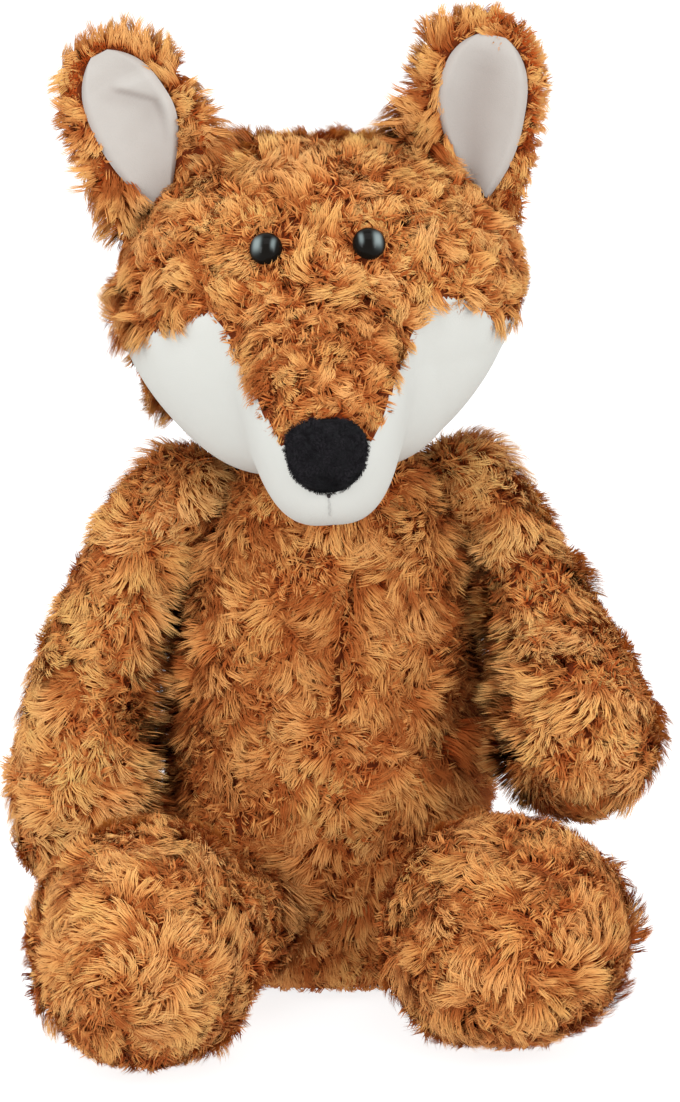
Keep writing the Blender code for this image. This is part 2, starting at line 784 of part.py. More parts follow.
def build_ear(side):
    """A cupped fur back and the lining that is sewn into it."""
    word = "left" if side < 0 else "right"
    made = []
    back = ear_sheet(side, 8, 8, ((-1, -1), (1, 1)), 1, 0, EAR_ROOT_GAP)
    edges = (LINING_OUTER, LINING_INNER)
    lining = ear_sheet(side, 7, 6, edges, LINING_TOP, LAYER_GAP, EAR_ROOT_GAP)
    for name, bm, thick, finish, ahead in (
        (f"ear_back_{word}", back, EAR_BACK_THICK, FUR, False),
        (f"ear_lining_{word}", lining, MINKY_THICK, LINING, True),
    ):
        bmesh.ops.remove_doubles(bm, verts=bm.verts, dist=SHORTEST_EDGE)
        bm.normal_update()
        middle = sum((f.normal for f in bm.faces), Vector())
        if (middle.y > 0) == ahead:
            bmesh.ops.reverse_faces(bm, faces=bm.faces)
            bm.normal_update()
        for vert in bm.verts:
            vert.co = roll_head(vert.co)
        obj = add_object(name, bm, finish)
        cloth = obj.modifiers.new("cloth", "SOLIDIFY")
        cloth.thickness = thick
        cloth.offset = 1
        cloth.use_even_offset = False
        made.append(obj)
    return made


def limb_place(path, across):
    """A limb round its middle line: a ball at its root, swelling sections and a round end.

    Its sections' first half axis lies square to the middle line and to the across direction.
    """
    rows = [(x * MM, y * MM, z * MM, a * MM, b * MM) for x, y, z, a, b in path]
    points = np.array(rows)
    lengths = np.linalg.norm(np.diff(points[:, :3], axis=0), axis=1)
    root = points[0, 3]
    end = (points[-1, 3] + points[-1, 4]) / 2
    total = root + lengths.sum() + end
    spots = np.concatenate([[0], np.cumsum(lengths)])

    def place(t, turn):
        s = t * total - root
        if s < 0:
            at, shrink, back = 0.0, math.sqrt(max(1 - (s / root) ** 2, 0)), s
        elif s > spots[-1]:
            over = (s - spots[-1]) / end
            at, shrink, back = len(rows) - 1.0, math.sqrt(max(1 - over**2, 0)), s - spots[-1]
        else:
            at, shrink, back = float(np.interp(s, spots, range(len(rows)))), 1.0, 0.0
        here = smooth_curve(rows, at)
        ahead = Vector(smooth_curve(rows, at + 0.05)[:3]) - Vector(smooth_curve(rows, at - 0.05)[:3])
        ahead.normalize()
        side = ahead.cross(across).normalized()
        up = side.cross(ahead).normalized()
        wide, tall = here[3] * shrink, here[4] * shrink
        point = Vector(here[:3]) + ahead * back
        point += side * wide * math.cos(turn) + up * tall * math.sin(turn)
        if (point - Vector(rows[0][:3])).length > root + 0.1 * MM:
            point = clear_of_torso(point, TOUCH_GAP)
        return settle(point)

    return place


def build_limb(name, path, segments, rings, words, across, tip=None):
    """Two sewn panels round a filling, and for some limbs a sole or a tip of its own."""
    made = []
    bm = shaped_ball(segments, rings, limb_place(path, across))
    turn = face_turn(bm)
    start = Vector(path[0][:3]) * MM
    end_name, end_test, end_finish = tip if tip else (None, None, None)

    def label(face):
        if tip and end_test(face):
            return end_name
        return f"{name}_{words[0]}" if turn(face) < 180 else f"{name}_{words[1]}"

    for panel_name, panel in split_panels(bm, label).items():
        thicken(panel, FUR_THICK)
        made.append(add_object(panel_name, panel, end_finish if panel_name == end_name else FUR))
    bm.free()
    core = shaped_ball(segments - 2, rings - 2, limb_place(path, across))
    inset(core, FUR_THICK + LIMB_FILLING_GAP)
    made.append(add_object(f"{name}_filling", core, FIBRE))
    return made, start


def past(path, at):
    """A test for faces of a limb that lie past a point of its middle line."""
    rows = [[v * MM for v in row] for row in path]
    here = smooth_curve(rows, at)
    ahead = Vector(rows[-1][:3]) - Vector(rows[-3][:3])
    ahead.normalize()
    return lambda face: (face.calc_center_median() - Vector(here[:3])).dot(ahead) > 0


def hang(pieces, name, place, parent):
    """Parent pieces, which stay where they are, to an empty on their joint's axis."""
    empty = bpy.data.objects.new(name, None)
    empty.empty_display_size = 0.02
    PARTS.objects.link(empty)
    empty.location = place - (parent.matrix_world.translation if parent else Vector())
    empty.parent = parent
    bpy.context.view_layer.update()
    for piece in pieces:
        piece.parent = empty
        piece.matrix_parent_inverse = empty.matrix_world.inverted()
    return empty


def centre_of_box():
    """The middle, in X and Y, of every piece's evaluated box."""
    graph = bpy.context.evaluated_depsgraph_get()
    lows, highs = [], []
    for obj in PARTS.objects:
        if obj.type != "MESH":
            continue
        seen = obj.evaluated_get(graph)
        corners = np.array([seen.matrix_world @ Vector(c) for c in seen.bound_box])
        lows.append(corners.min(axis=0))
        highs.append(corners.max(axis=0))
    low, high = np.min(lows, axis=0), np.max(highs, axis=0)
    print("box in mm:", np.round(low * 1000, 2), np.round(high * 1000, 2))
    return (low + high) / 2


def build():
    """Every piece, then the joints' empties, then the whole moved over its origin."""
    torso = build_torso()
    head = build_head() + build_nose()
    ears = {side: build_ear(side) for side in (-1, 1)}
    arm_left, shoulder_left = build_limb("arm_left", ARM_LEFT, 12, 12, ("back", "front"), DEPTH)
    arm_right, shoulder_right = build_limb("arm_right", ARM_RIGHT, 12, 12, ("back", "front"), DEPTH)
    legs = []
    for name, path in (("leg_left", LEG_LEFT), ("leg_right", LEG_RIGHT)):
        sole = (f"{name}_sole", past(path, 4.6), FUR)
        legs.append(build_limb(name, path, 14, 12, ("top", "under"), HEIGHT, sole))
    tip = ("tail_tip", past(TAIL, TAIL_TIP_FROM), TIP_FUR)
    tail, tail_root = build_limb("tail", TAIL, 12, 11, ("top", "under"), HEIGHT, tip)

    bpy.context.view_layer.update()
    root = hang(torso, "body_frame", Vector(), None)
    neck = hang(head + list(CUTTERS.objects), "neck_joint", HEAD_PIVOT, root)
    for side, pieces in ears.items():
        word = "left" if side < 0 else "right"
        base = roll_head(ear_surface(side, 0, 0, 0))
        hang(pieces, f"ear_{word}_joint", base, neck)
    hang(arm_left, "shoulder_left", shoulder_left, root)
    hang(arm_right, "shoulder_right", shoulder_right, root)
    hang(legs[0][0], "hip_left", legs[0][1], root)
    hang(legs[1][0], "hip_right", legs[1][1], root)
    hang(tail, "tail_root", tail_root, root)
    middle = centre_of_box()
    root.location = (-middle[0], -middle[1], 0)
    bpy.context.view_layer.update()
    for obj in PARTS.objects:
        if obj.type == "EMPTY":
            print(obj.name, [round(v, 5) for v in obj.matrix_world.translation])


build()
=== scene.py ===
"""Looks of a sitting plush fox: curly tan pile, smooth white cheeks, glossy eyes and a felt nose.

Metres, +Z up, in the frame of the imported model. Each stuffed form is a smooth skin that its pile
grows from. The pile is real geometry: every hair is a flat, tapering strip that leaves its root,
leans over and curls, and hairs gather into tufts, and tufts into locks that lie over each other
like shingles. Everything random is seeded.
"""

from __future__ import annotations

import json
import logging
import math
from dataclasses import dataclass, field
from enum import Enum
from typing import Callable

import bpy
import numpy as np
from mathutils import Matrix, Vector
from mathutils.kdtree import KDTree

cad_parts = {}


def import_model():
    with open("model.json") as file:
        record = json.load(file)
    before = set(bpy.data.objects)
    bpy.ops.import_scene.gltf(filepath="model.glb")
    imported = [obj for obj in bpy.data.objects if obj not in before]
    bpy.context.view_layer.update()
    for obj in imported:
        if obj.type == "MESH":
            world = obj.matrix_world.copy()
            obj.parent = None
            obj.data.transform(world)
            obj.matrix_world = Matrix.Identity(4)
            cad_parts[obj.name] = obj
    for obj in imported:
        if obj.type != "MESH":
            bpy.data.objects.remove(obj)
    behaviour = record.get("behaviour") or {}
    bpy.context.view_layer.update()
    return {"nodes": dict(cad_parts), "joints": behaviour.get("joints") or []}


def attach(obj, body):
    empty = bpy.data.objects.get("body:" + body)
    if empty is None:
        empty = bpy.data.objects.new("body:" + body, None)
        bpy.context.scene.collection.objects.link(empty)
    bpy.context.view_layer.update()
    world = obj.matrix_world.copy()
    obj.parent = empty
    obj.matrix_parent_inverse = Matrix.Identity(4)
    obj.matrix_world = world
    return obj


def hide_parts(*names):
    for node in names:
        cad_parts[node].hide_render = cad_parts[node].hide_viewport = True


LOG = logging.getLogger("plush_fox")
MM = 0.001
UP = np.array((0.0, 0.0, 1.0))
LOOK = "look_"
SEED = 7

Array = np.ndarray
Colour = tuple[float, float, float]


class Side(Enum):
    """The two sides of the toy, as the front view shows them."""

    LEFT = -1
    RIGHT = 1

    @property
    def word(self) -> str:
        """The side's name in node names."""
        return self.name.lower()


# Shader expressions


class Value:
    """A shader socket that does arithmetic: an expression on values adds its Math nodes."""

    def __init__(self, board: Board, socket: bpy.types.NodeSocket) -> None:
        """Wrap one output socket.

        Args:
            board: The board that the socket is on.
            socket: The socket.
        """
        self.board = board
        self.socket = socket

    def _math(self, operation: str, first: Value | float, second: Value | float) -> Value:
        """One Math node on two operands."""
        return self.board.node("ShaderNodeMath", {"operation": operation}, {0: first, 1: second})

    def __add__(self, other: Value | float) -> Value:
        """self + other."""
        return self._math("ADD", self, other)

    def __sub__(self, other: Value | float) -> Value:
        """self - other."""
        return self._math("SUBTRACT", self, other)

    def __rsub__(self, other: Value | float) -> Value:
        """other - self."""
        return self._math("SUBTRACT", other, self)

    def __mul__(self, other: Value | float) -> Value:
        """self * other."""
        return self._math("MULTIPLY", self, other)

    def __pow__(self, other: Value | float) -> Value:
        """self to the power of other."""
        return self._math("POWER", self, other)

    __radd__ = __add__
    __rmul__ = __mul__

    def clamped(self) -> Value:
        """The value held between 0 and 1."""
        return self.board.node("ShaderNodeClamp", {}, {0: self})


class Board:
    """The node tree of one material, with its Principled shader."""

    def __init__(self, name: str) -> None:
        """Make a material that holds only an output and a Principled shader.

        Args:
            name: The finish's name.
        """
        self.material = bpy.data.materials.new(f"{LOOK}{name}")
        self.material.use_nodes = True
        self.tree = self.material.node_tree
        self.shader = self.tree.nodes["Principled BSDF"]

    def node(
        self,
        kind: str,
        settings: dict[str, object],
        inputs: dict[int | str, object],
        output: int | str = 0,
    ) -> Value:
        """Add a node.

        Args:
            kind: The node's type name.
            settings: Its own settings, which are set first.
            inputs: Values or links, by the socket's index or name.
            output: The output socket that is wanted.

        Returns:
            The output socket, as a value.
        """
        made = self.tree.nodes.new(kind)
        for key, setting in settings.items():
            setattr(made, key, setting)
        for key, given in inputs.items():
            self.feed(made.inputs[key], given)
        return Value(self, made.outputs[output])

    def feed(self, socket: bpy.types.NodeSocket, given: object) -> None:
        """Link a value to a socket, or set the socket's own number or colour.

        Args:
            socket: The socket.
            given: What it gets.
        """
        if isinstance(given, Value):
            self.tree.links.new(given.socket, socket)
        elif isinstance(given, tuple) and socket.type == "RGBA":
            socket.default_value = (*given, 1.0)
        else:
            socket.default_value = given

    def set(self, **inputs: object) -> None:
        """Feed the Principled shader.

        Args:
            **inputs: Values by the socket's name, with underscores for its spaces.
        """
        for key, given in inputs.items():
            self.feed(self.shader.inputs[key.replace("_", " ")], given)

    def attribute(self, name: str) -> Value:
        """A number that the mesh stores on its points."""
        return self.node("ShaderNodeAttribute", {"attribute_name": name}, {}, "Fac")

    def place(self) -> Value:
        """The point's place on the object at rest."""
        return self.node("ShaderNodeTexCoord", {}, {}, "Object")

    def noise(self, scale: float, detail: float = 3.0, roughness: float = 0.5) -> Value:
        """Noise over the object's own space.

        Args:
            scale: Cells a metre.
            detail: How many finer layers it has.
            roughness: How strong they are.

        Returns:
            The noise, from 0 to 1.
        """
        inputs = {"Vector": self.place(), "Scale": scale, "Detail": detail, "Roughness": roughness}
        return self.node("ShaderNodeTexNoise", {}, inputs, "Fac")

    def mix(self, amount: Value | float, first: object, second: object) -> Value:
        """Mix two colours.

        Args:
            amount: The second colour's share.
            first: The first colour.
            second: The second colour.

        Returns:
            The mixed colour.
        """
        inputs = {"Factor": amount, 6: first, 7: second}
        return self.node("ShaderNodeMix", {"data_type": "RGBA"}, inputs, 2)

    def bump(self, height: Value, strength: float, distance: float) -> Value:
        """Bump the surface.

        Args:
            height: The height, as a value.
            strength: How strongly it counts.
            distance: How much a height of 1 is, in metres.

        Returns:
            The bumped normal.
        """
        inputs = {"Height": height, "Strength": strength, "Distance": distance}
        return self.node("ShaderNodeBump", {}, inputs, "Normal")


# Finishes


@dataclass(frozen=True)
class PileFinish:
    """Pile, dark at its roots and lighter at its tips, partly as painted shade deep in the pile and a painted
    highlight at the tips; each hair a little unlike the next.

    Attributes:
        name: The finish's name.
        root: The colour at a hair's root, dark partly as painted shade deep in the pile.
        body: The colour along it.
        tip: The colour at its tip, light partly as a painted highlight.
        shadow: The colour of a hair deep between the locks.
        second_tip: What the tips' colour drifts to from place to place, or nothing.
        drift_cells: Cells a metre of that drift.
        tip_start: How far along a hair its tip's colour starts.
        roughness: How matt the hairs are.
        gloss: How strongly they reflect.
    """

    name: str
    root: Colour
    body: Colour
    tip: Colour
    shadow: Colour
    second_tip: Colour | None = None
    drift_cells: float = 70.0
    tip_start: float = 0.3
    roughness: float = 0.9
    gloss: float = 0.12

    def build(self) -> bpy.types.Material:
        """Colour a hair by how far along it a point lies and by its shade, which holds random differences and
        painted light and shade.

        Returns:
            The material.
        """
        board = Board(self.name)
        along, shade = board.attribute("along"), board.attribute("shade")
        # Painted shade at the roots and a painted highlight at the tips, partly the pile's own colour; a low
        # shade mixes in the shadow colour as painted shade.
        hair = board.mix((along * 1.6 - 0.1).clamped(), self.root, self.body)
        drift = ((board.noise(self.drift_cells, 2.0) - 0.35) * 3.0).clamped()
        tip = board.mix(drift, self.tip, self.second_tip or self.tip)
        hair = board.mix(((along - self.tip_start) * 1.9 * shade).clamped(), hair, tip)
        hair = board.mix((0.75 - shade * 1.7).clamped(), hair, self.shadow)
        board.set(Base_Color=hair, Roughness=self.roughness, Specular_IOR_Level=self.gloss)
        return board.material


@dataclass(frozen=True)
class PlushFinish:
    """Smooth short plush: a fine nap and faint pressed patches, with painted shade in folds and hollows where
    a hollow colour is given.

    Attributes:
        name: The finish's name.
        light: Its colour.
        dark: Its colour where the nap is pressed.
        hollow: The painted shade colour in a fold or a hollow, or nothing.
        patch_cells: Cells a metre of the pressed patches.
        nap_cells: Cells a metre of the nap.
        nap_depth: How deep the nap is.
    """

    name: str
    light: Colour
    dark: Colour
    hollow: Colour | None = None
    patch_cells: float = 90.0
    nap_cells: float = 2600.0
    nap_depth: float = 0.3 * MM

    def build(self) -> bpy.types.Material:
        """Make broad faint patches and a fine nap, and paint shade where the mesh's stored shade is low.

        Returns:
            The material.
        """
        board = Board(self.name)
        patches = board.noise(self.patch_cells, 2.0)
        nap = board.noise(self.nap_cells, 2.0, 0.6)
        colour = board.mix((patches * 1.4 - 0.2).clamped(), self.dark, self.light)
        # Painted shade: the colour goes to the hollow colour where the mesh's stored shade is low.
        if self.hollow:
            colour = board.mix(board.attribute("shade").clamped(), self.hollow, colour)
        board.set(Base_Color=colour, Roughness=0.95, Specular_IOR_Level=0.1)
        board.set(Normal=board.bump(nap + patches * 2.0, 0.35, self.nap_depth))
        return board.material


@dataclass(frozen=True)
class GlossFinish:
    """Hard glossy plastic, with painted reflection patches that glow.

    Attributes:
        name: The finish's name.
        colour: Its colour.
        painted_glint: The colour of the painted reflection patches that the mesh marks, which glow.
        roughness: How matt it is where it is cleanest.
        smear_cells: Cells a metre of the faint smears on it.
    """

    name: str
    colour: Colour
    painted_glint: Colour = (0.33, 0.40, 0.40)
    roughness: float = 0.06
    smear_cells: float = 700.0

    def build(self) -> bpy.types.Material:
        """Make a dark body whose gloss is broken by the faintest smears, with glowing painted reflection
        patches where the mesh marks them.

        Returns:
            The material.
        """
        board = Board(self.name)
        smear = board.noise(self.smear_cells, 2.0)
        board.set(Base_Color=self.colour, Roughness=smear * 0.05 + self.roughness)
        # Painted reflections: the patches that the mesh marks glow by emission.
        board.set(Specular_IOR_Level=0.05, Emission_Strength=1.0)
        board.set(Emission_Color=board.mix(board.attribute("painted_glint").clamped(), (0, 0, 0), self.painted_glint))
        return board.material


@dataclass(frozen=True)
class MattFinish:
    """A plain matt surface with a little grain: cloth, felt, thread or plastic out of sight.

    Attributes:
        name: The finish's name.
        light: Its lighter colour.
        dark: Its darker colour.
        grain_cells: Cells a metre of the grain.
        grain_depth: How deep the grain is.
    """

    name: str
    light: Colour
    dark: Colour
    grain_cells: float = 1500.0
    grain_depth: float = 0.4 * MM

    def build(self) -> bpy.types.Material:
        """Mix two near colours by a grain that also bumps the surface.

        Returns:
            The material.
        """
        board = Board(self.name)
        grain = board.noise(self.grain_cells, 4.0, 0.65)
        board.set(Base_Color=board.mix(grain, self.dark, self.light), Roughness=0.95)
        board.set(Specular_IOR_Level=0.15, Normal=board.bump(grain, 0.6, self.grain_depth))
        return board.material


class Finish(Enum):
    """Every finish of the toy and of its stage."""

    # Tan pile: its dark roots and light tips are partly painted shade and painted highlight, its shadow
    # colour painted shade between locks.
    FUR = PileFinish(
        "tan_pile", (0.36, 0.055, 0.006), (0.62, 0.240, 0.060), (0.73, 0.40, 0.150), (0.27, 0.038, 0.004),
        (0.69, 0.42, 0.135),
    )
    TAIL_TIP = PileFinish(
        "cream_pile", (0.46, 0.36, 0.25), (0.72, 0.65, 0.54), (0.82, 0.77, 0.68), (0.52, 0.41, 0.30)
    )
    FELT = PileFinish(
        "black_pile", (0.003, 0.002, 0.003), (0.007, 0.006, 0.008), (0.022, 0.020, 0.023),
        (0.004, 0.003, 0.004),
    )
    # The backing's dark colour is partly painted shade: where it shows, in partings and bare places, it
    # stands in for crevice shade.
    SKIN = MattFinish("tan_backing_painted_shade", (0.16, 0.028, 0.005), (0.10, 0.017, 0.003))
    TIP_SKIN = MattFinish("cream_backing", (0.52, 0.38, 0.25), (0.42, 0.29, 0.18))
    CHEEK = PlushFinish("white_plush", (0.52, 0.525, 0.495), (0.50, 0.505, 0.475))
    # The lining's third colour is painted shade in its fold and hollow.
    LINING = PlushFinish("ear_lining", (0.435, 0.413, 0.387), (0.383, 0.357, 0.33), (0.24, 0.205, 0.185))
    FELT_SKIN = MattFinish("nose_backing", (0.010, 0.010, 0.011), (0.004, 0.004, 0.005))
    # Black eyes, with glowing painted reflection patches.
    EYE = GlossFinish("eye_black", (0.006, 0.005, 0.004))
    THREAD = MattFinish("dark_thread", (0.05, 0.04, 0.04), (0.02, 0.016, 0.016), 4000.0)
    SEAM = MattFinish("white_thread", (0.48, 0.48, 0.455), (0.42, 0.42, 0.40), 4000.0)
    WASHER = MattFinish("washer_plastic", (0.80, 0.80, 0.78), (0.74, 0.74, 0.72), 900.0)
    POUCH = MattFinish("pouch_cloth", (0.76, 0.75, 0.71), (0.66, 0.65, 0.61), 2200.0)

    def material(self) -> bpy.types.Material:
        """The finish's material, made once."""
        return bpy.data.materials.get(f"{LOOK}{self.value.name}") or self.value.build()


# Surfaces


def unit(vectors: Array) -> Array:
    """Vectors of length 1 along the last axis."""
    return vectors / np.maximum(np.linalg.norm(vectors, axis=-1, keepdims=True), 1e-12)


def smooth_curve(points: Array, t: Array) -> Array:
    """Follow the Catmull-Rom curve through rows.

    Args:
        points: The rows.
        t: Where on the curve, counted in rows.

    Returns:
        The curve's rows there.
    """
    rows = np.vstack([2 * points[0] - points[1], points, 2 * points[-1] - points[-2]])
    t = np.clip(np.asarray(t, float), 0, len(points) - 1)
    i = np.minimum(t.astype(int), len(points) - 2)
    f = (t - i)[..., None]
    p0, p1, p2, p3 = rows[i], rows[i + 1], rows[i + 2], rows[i + 3]
    line = 2 * p1 + (p2 - p0) * f
    return 0.5 * (line + (2 * p0 - 5 * p1 + 4 * p2 - p3) * f**2 + (3 * p1 - p0 - 3 * p2 + p3) * f**3)


def turn_about(points: Array, angle: float, axis: str) -> Array:
    """Turn points about a coordinate axis through the origin.

    Args:
        points: The points.
        angle: The turn, in radians.
        axis: X, Y or Z.

    Returns:
        The turned points.
    """
    c, s = math.cos(angle), math.sin(angle)
    matrix = {
        "X": ((1, 0, 0), (0, c, -s), (0, s, c)),
        "Y": ((c, 0, s), (0, 1, 0), (-s, 0, c)),
        "Z": ((c, -s, 0), (s, c, 0), (0, 0, 1)),
    }[axis]
    return points @ np.array(matrix).T


@dataclass
class Surface:
    """A grid of points that closes on itself round its columns, or an open one.

    Attributes:
        points: Rows by columns by 3.
        wraps: Whether the last column joins the first.
        u: The column value of each point.
        v: The row value of each point.
        faces: The four points of each face.
        normals: The outward direction at each point.
    """

    points: Array
    wraps: bool
    u: Array
    v: Array
    faces: Array = field(init=False)
    normals: Array = field(init=False)

    def __post_init__(self) -> None:
        """Work out the faces and the points' normals."""
        rows, columns = self.points.shape[:2]
        ids = np.arange(rows * columns).reshape(rows, columns)
        right = np.roll(ids, -1, axis=1) if self.wraps else ids[:, 1:]
        left = ids if self.wraps else ids[:, :-1]
        quads = np.stack([left[:-1], right[:-1], right[1:], left[1:]], axis=-1)
        self.faces = quads.reshape(-1, 4)
        flat = self.points.reshape(-1, 3)
        corners = flat[self.faces]
        cross = np.cross(corners[:, 2] - corners[:, 0], corners[:, 3] - corners[:, 1])
        normals = np.zeros_like(flat)
        for corner in range(4):
            np.add.at(normals, self.faces[:, corner], cross)
        normals = unit(normals)
        ends = flat.reshape(rows, columns, 3)
        shaped = normals.reshape(rows, columns, 3)
        for row in (0, -1):
            if np.ptp(ends[row], axis=0).max() < 0.1 * MM:
                shaped[row] = unit(shaped[row].mean(axis=0))
        self.normals = shaped.reshape(-1, 3)

    def flip(self) -> Surface:
        """Turn the faces over.

        Returns:
            The same surface.
        """
        self.faces = self.faces[:, ::-1]
        self.normals = -self.normals
        return self

    def outward_from(self, centre: Array) -> Surface:
        """Flip the surface if it faces a centre.

        Args:
            centre: The centre.

        Returns:
            The same surface.
        """
        flat = self.points.reshape(-1, 3)
        if ((flat - centre) * self.normals).sum() < 0:
            return self.flip()
        return self

    def sunk(self, depth: float) -> Array:
        """The points, moved inward by a depth."""
        return self.points.reshape(-1, 3) - self.normals * depth

    def sample(self, count: int, rng: np.random.Generator) -> Roots:
        """Random places, evenly spread by area.

        Args:
            count: How many places.
            rng: The source of random numbers.

        Returns:
            The places with their normals and grid values.
        """
        flat = self.points.reshape(-1, 3)
        tris = np.concatenate([self.faces[:, [0, 1, 2]], self.faces[:, [0, 2, 3]]])
        a, b, c = (flat[tris[:, k]] for k in range(3))
        area = np.linalg.norm(np.cross(b - a, c - a), axis=1)
        found = np.searchsorted(np.cumsum(area) / area.sum(), rng.random(count))
        chosen = tris[found.clip(0, len(tris) - 1)]
        first, second = rng.random(count), rng.random(count)
        over = first + second > 1
        first, second = np.where(over, 1 - first, first), np.where(over, 1 - second, second)
        shares = np.stack([1 - first - second, first, second], axis=1)

        def read(values: Array) -> Array:
            """Values of the points, read at the places."""
            return np.einsum("nk,nk...->n...", shares, values[chosen])

        turns = self.u.reshape(-1)[chosen]
        if self.wraps:
            turns = turns + np.where(turns < turns.max(axis=1, keepdims=True) - math.pi, 2 * math.pi, 0)
        along = np.einsum("nk,nk->n", shares, turns)
        return Roots(read(flat), unit(read(self.normals)), along % (2 * math.pi), read(self.v.reshape(-1)))

    @property
    def area(self) -> float:
        """The whole surface's area.

        Returns:
            The area, in square metres.
        """
        corners = self.points.reshape(-1, 3)[self.faces]
        cross = np.cross(corners[:, 2] - corners[:, 0], corners[:, 3] - corners[:, 1])
        return float(np.linalg.norm(cross, axis=1).sum() / 2)


@dataclass
class Roots:
    """Places on a surface.

    Attributes:
        points: Where they are.
        normals: The surface's outward direction there.
        u: The surface's column value there.
        v: The surface's row value there.
    """

    points: Array
    normals: Array
    u: Array
    v: Array

    def __getitem__(self, chosen: Array) -> Roots:
        """The chosen places."""
        return Roots(self.points[chosen], self.normals[chosen], self.u[chosen], self.v[chosen])

    def __len__(self) -> int:
        """How many places there are."""
        return len(self.points)


def thinned(points: Array, spacing: float) -> Array:
    """Choose points that keep a spacing from each other, in their order.

    Args:
        points: The points.
        spacing: The least distance between two that are chosen.

    Returns:
        The indices of the chosen points.
    """
    tree = KDTree(len(points))
    for i, point in enumerate(points.tolist()):
        tree.insert(point, i)
    tree.balance()
    free = np.ones(len(points), bool)
    kept = []
    for i, point in enumerate(points.tolist()):
        if not free[i]:
            continue
        kept.append(i)
        for _, j, _ in tree.find_range(point, spacing):
            free[j] = False
    return np.array(kept)


def nearest(points: Array, centres: Array) -> Array:
    """Find each point's nearest centre.

    Args:
        points: The points.
        centres: The centres.

    Returns:
        The index of a centre for each point.
    """
    tree = KDTree(len(centres))
    for i, centre in enumerate(centres.tolist()):
        tree.insert(centre, i)
    tree.balance()
    return np.array([tree.find(point)[1] for point in points.tolist()])


def wander(points: Array, reach: float, rng: np.random.Generator) -> Array:
    """Shift points smoothly and at random, which makes the outlines of locks uneven.

    Args:
        points: The points.
        reach: How far apart the shifts change.
        rng: The source of random numbers.

    Returns:
        The shift of each point.
    """
    shift = np.zeros(points.shape)
    for length in (0.9, 1.4, 2.3, 3.6):
        wave = unit(rng.normal(0, 1, 3)) * 2 * math.pi / (reach * length)
        shift += np.sin(points @ wave + rng.uniform(0, 6.3))[:, None] * unit(rng.normal(0, 1, 3))
    return shift * reach * 0.22


def tangents(normals: Array, wish: Array) -> tuple[Array, Array]:
    """Lay wished directions flat on a surface.

    Args:
        normals: The surface's normals.
        wish: The wished directions.

    Returns:
        The unit directions along the surface, and those across them.
    """
    flat = wish - normals * (wish * normals).sum(axis=1, keepdims=True)
    weak = np.linalg.norm(flat, axis=1) < 1e-4
    flat[weak] = np.cross(normals[weak], (1.0, 0.2, 0.1))
    along = unit(flat)
    return along, np.cross(normals, along)


# Pile


@dataclass(frozen=True)
class Pile:
    """How a pile grows.

    Attributes:
        length: A hair's length.
        width: A hair's width at its middle.
        tuft: The spacing of the tufts.
        hairs: Hairs in a tuft.
        lock: The spacing of the locks that tufts lie in.
        root_depth: How far under the surface the hairs start.
        lump: How unequally high the locks stand.
        swirl: How far the locks turn from the comb's direction, in radians.
        curl: How far a hair turns as it goes, in radians.
        lean: A hair's lean from upright at its root and at its tip, in radians.
        crest: How much more upright a lock's far end stands than its near end.
        fan: How much a lock's hairs spread sideways, or close up where it is below 0.
        gather: How much a tuft's hairs close up at their tips.
        crimp: How far a tuft waves from side to side.
        stray: How far tufts turn from their lock's direction, in radians.
        edge: How much darker a tuft's outer hairs are, as painted shade between tufts.
        steps: Strips in a hair.
    """

    length: float
    width: float
    tuft: float
    hairs: int
    lock: float
    root_depth: float
    lump: float
    swirl: float
    curl: float
    lean: tuple[float, float]
    crest: float = 0.8
    fan: float = 0.8
    gather: float = 0.35
    crimp: float = 0.5 * MM
    stray: float = 0.16
    edge: float = 0.14
    steps: int = 4


@dataclass
class Hairs:
    """Finished hairs.

    Attributes:
        lines: The points of each hair's line.
        across: The direction of its width at each point.
        facing: The outward direction of its lock, for a soft shading.
        widths: Its width.
        shade: Its shade from 0, dark, to 1: random differences with painted light and shade.
        piece: The number of the piece that it belongs to.
    """

    lines: Array
    across: Array
    facing: Array
    widths: Array
    shade: Array
    piece: Array


@dataclass(frozen=True)
class Tuft:
    """A place of the front view where the pile is longer or shorter than around it.

    Attributes:
        across: Where it lies, in millimetres right of the view's middle.
        height: How high it lies, in millimetres over the view's middle.
        reach: How far it reaches, in millimetres.
        gain: How much longer the pile is there, as a share.
    """

    across: float
    height: float
    reach: float
    gain: float


def tufted(points: Array) -> Array:
    """Find how much longer or shorter the pile is at places.

    Args:
        points: The places.

    Returns:
        A factor for each.
    """
    target = np.array(Stage.target)
    across = (points[:, 0] - target[0]) / MM
    rise, back = (points[:, 2] - target[2]) / MM, (points[:, 1] - target[1]) / MM
    height = rise * math.cos(Stage.elevation) + back * math.sin(Stage.elevation)
    factor = np.ones(len(points))
    for tuft in TUFTS:
        away = np.hypot(across - tuft.across, height - tuft.height) / tuft.reach
        factor *= 1 + tuft.gain * np.exp(-(away**2))
    return factor


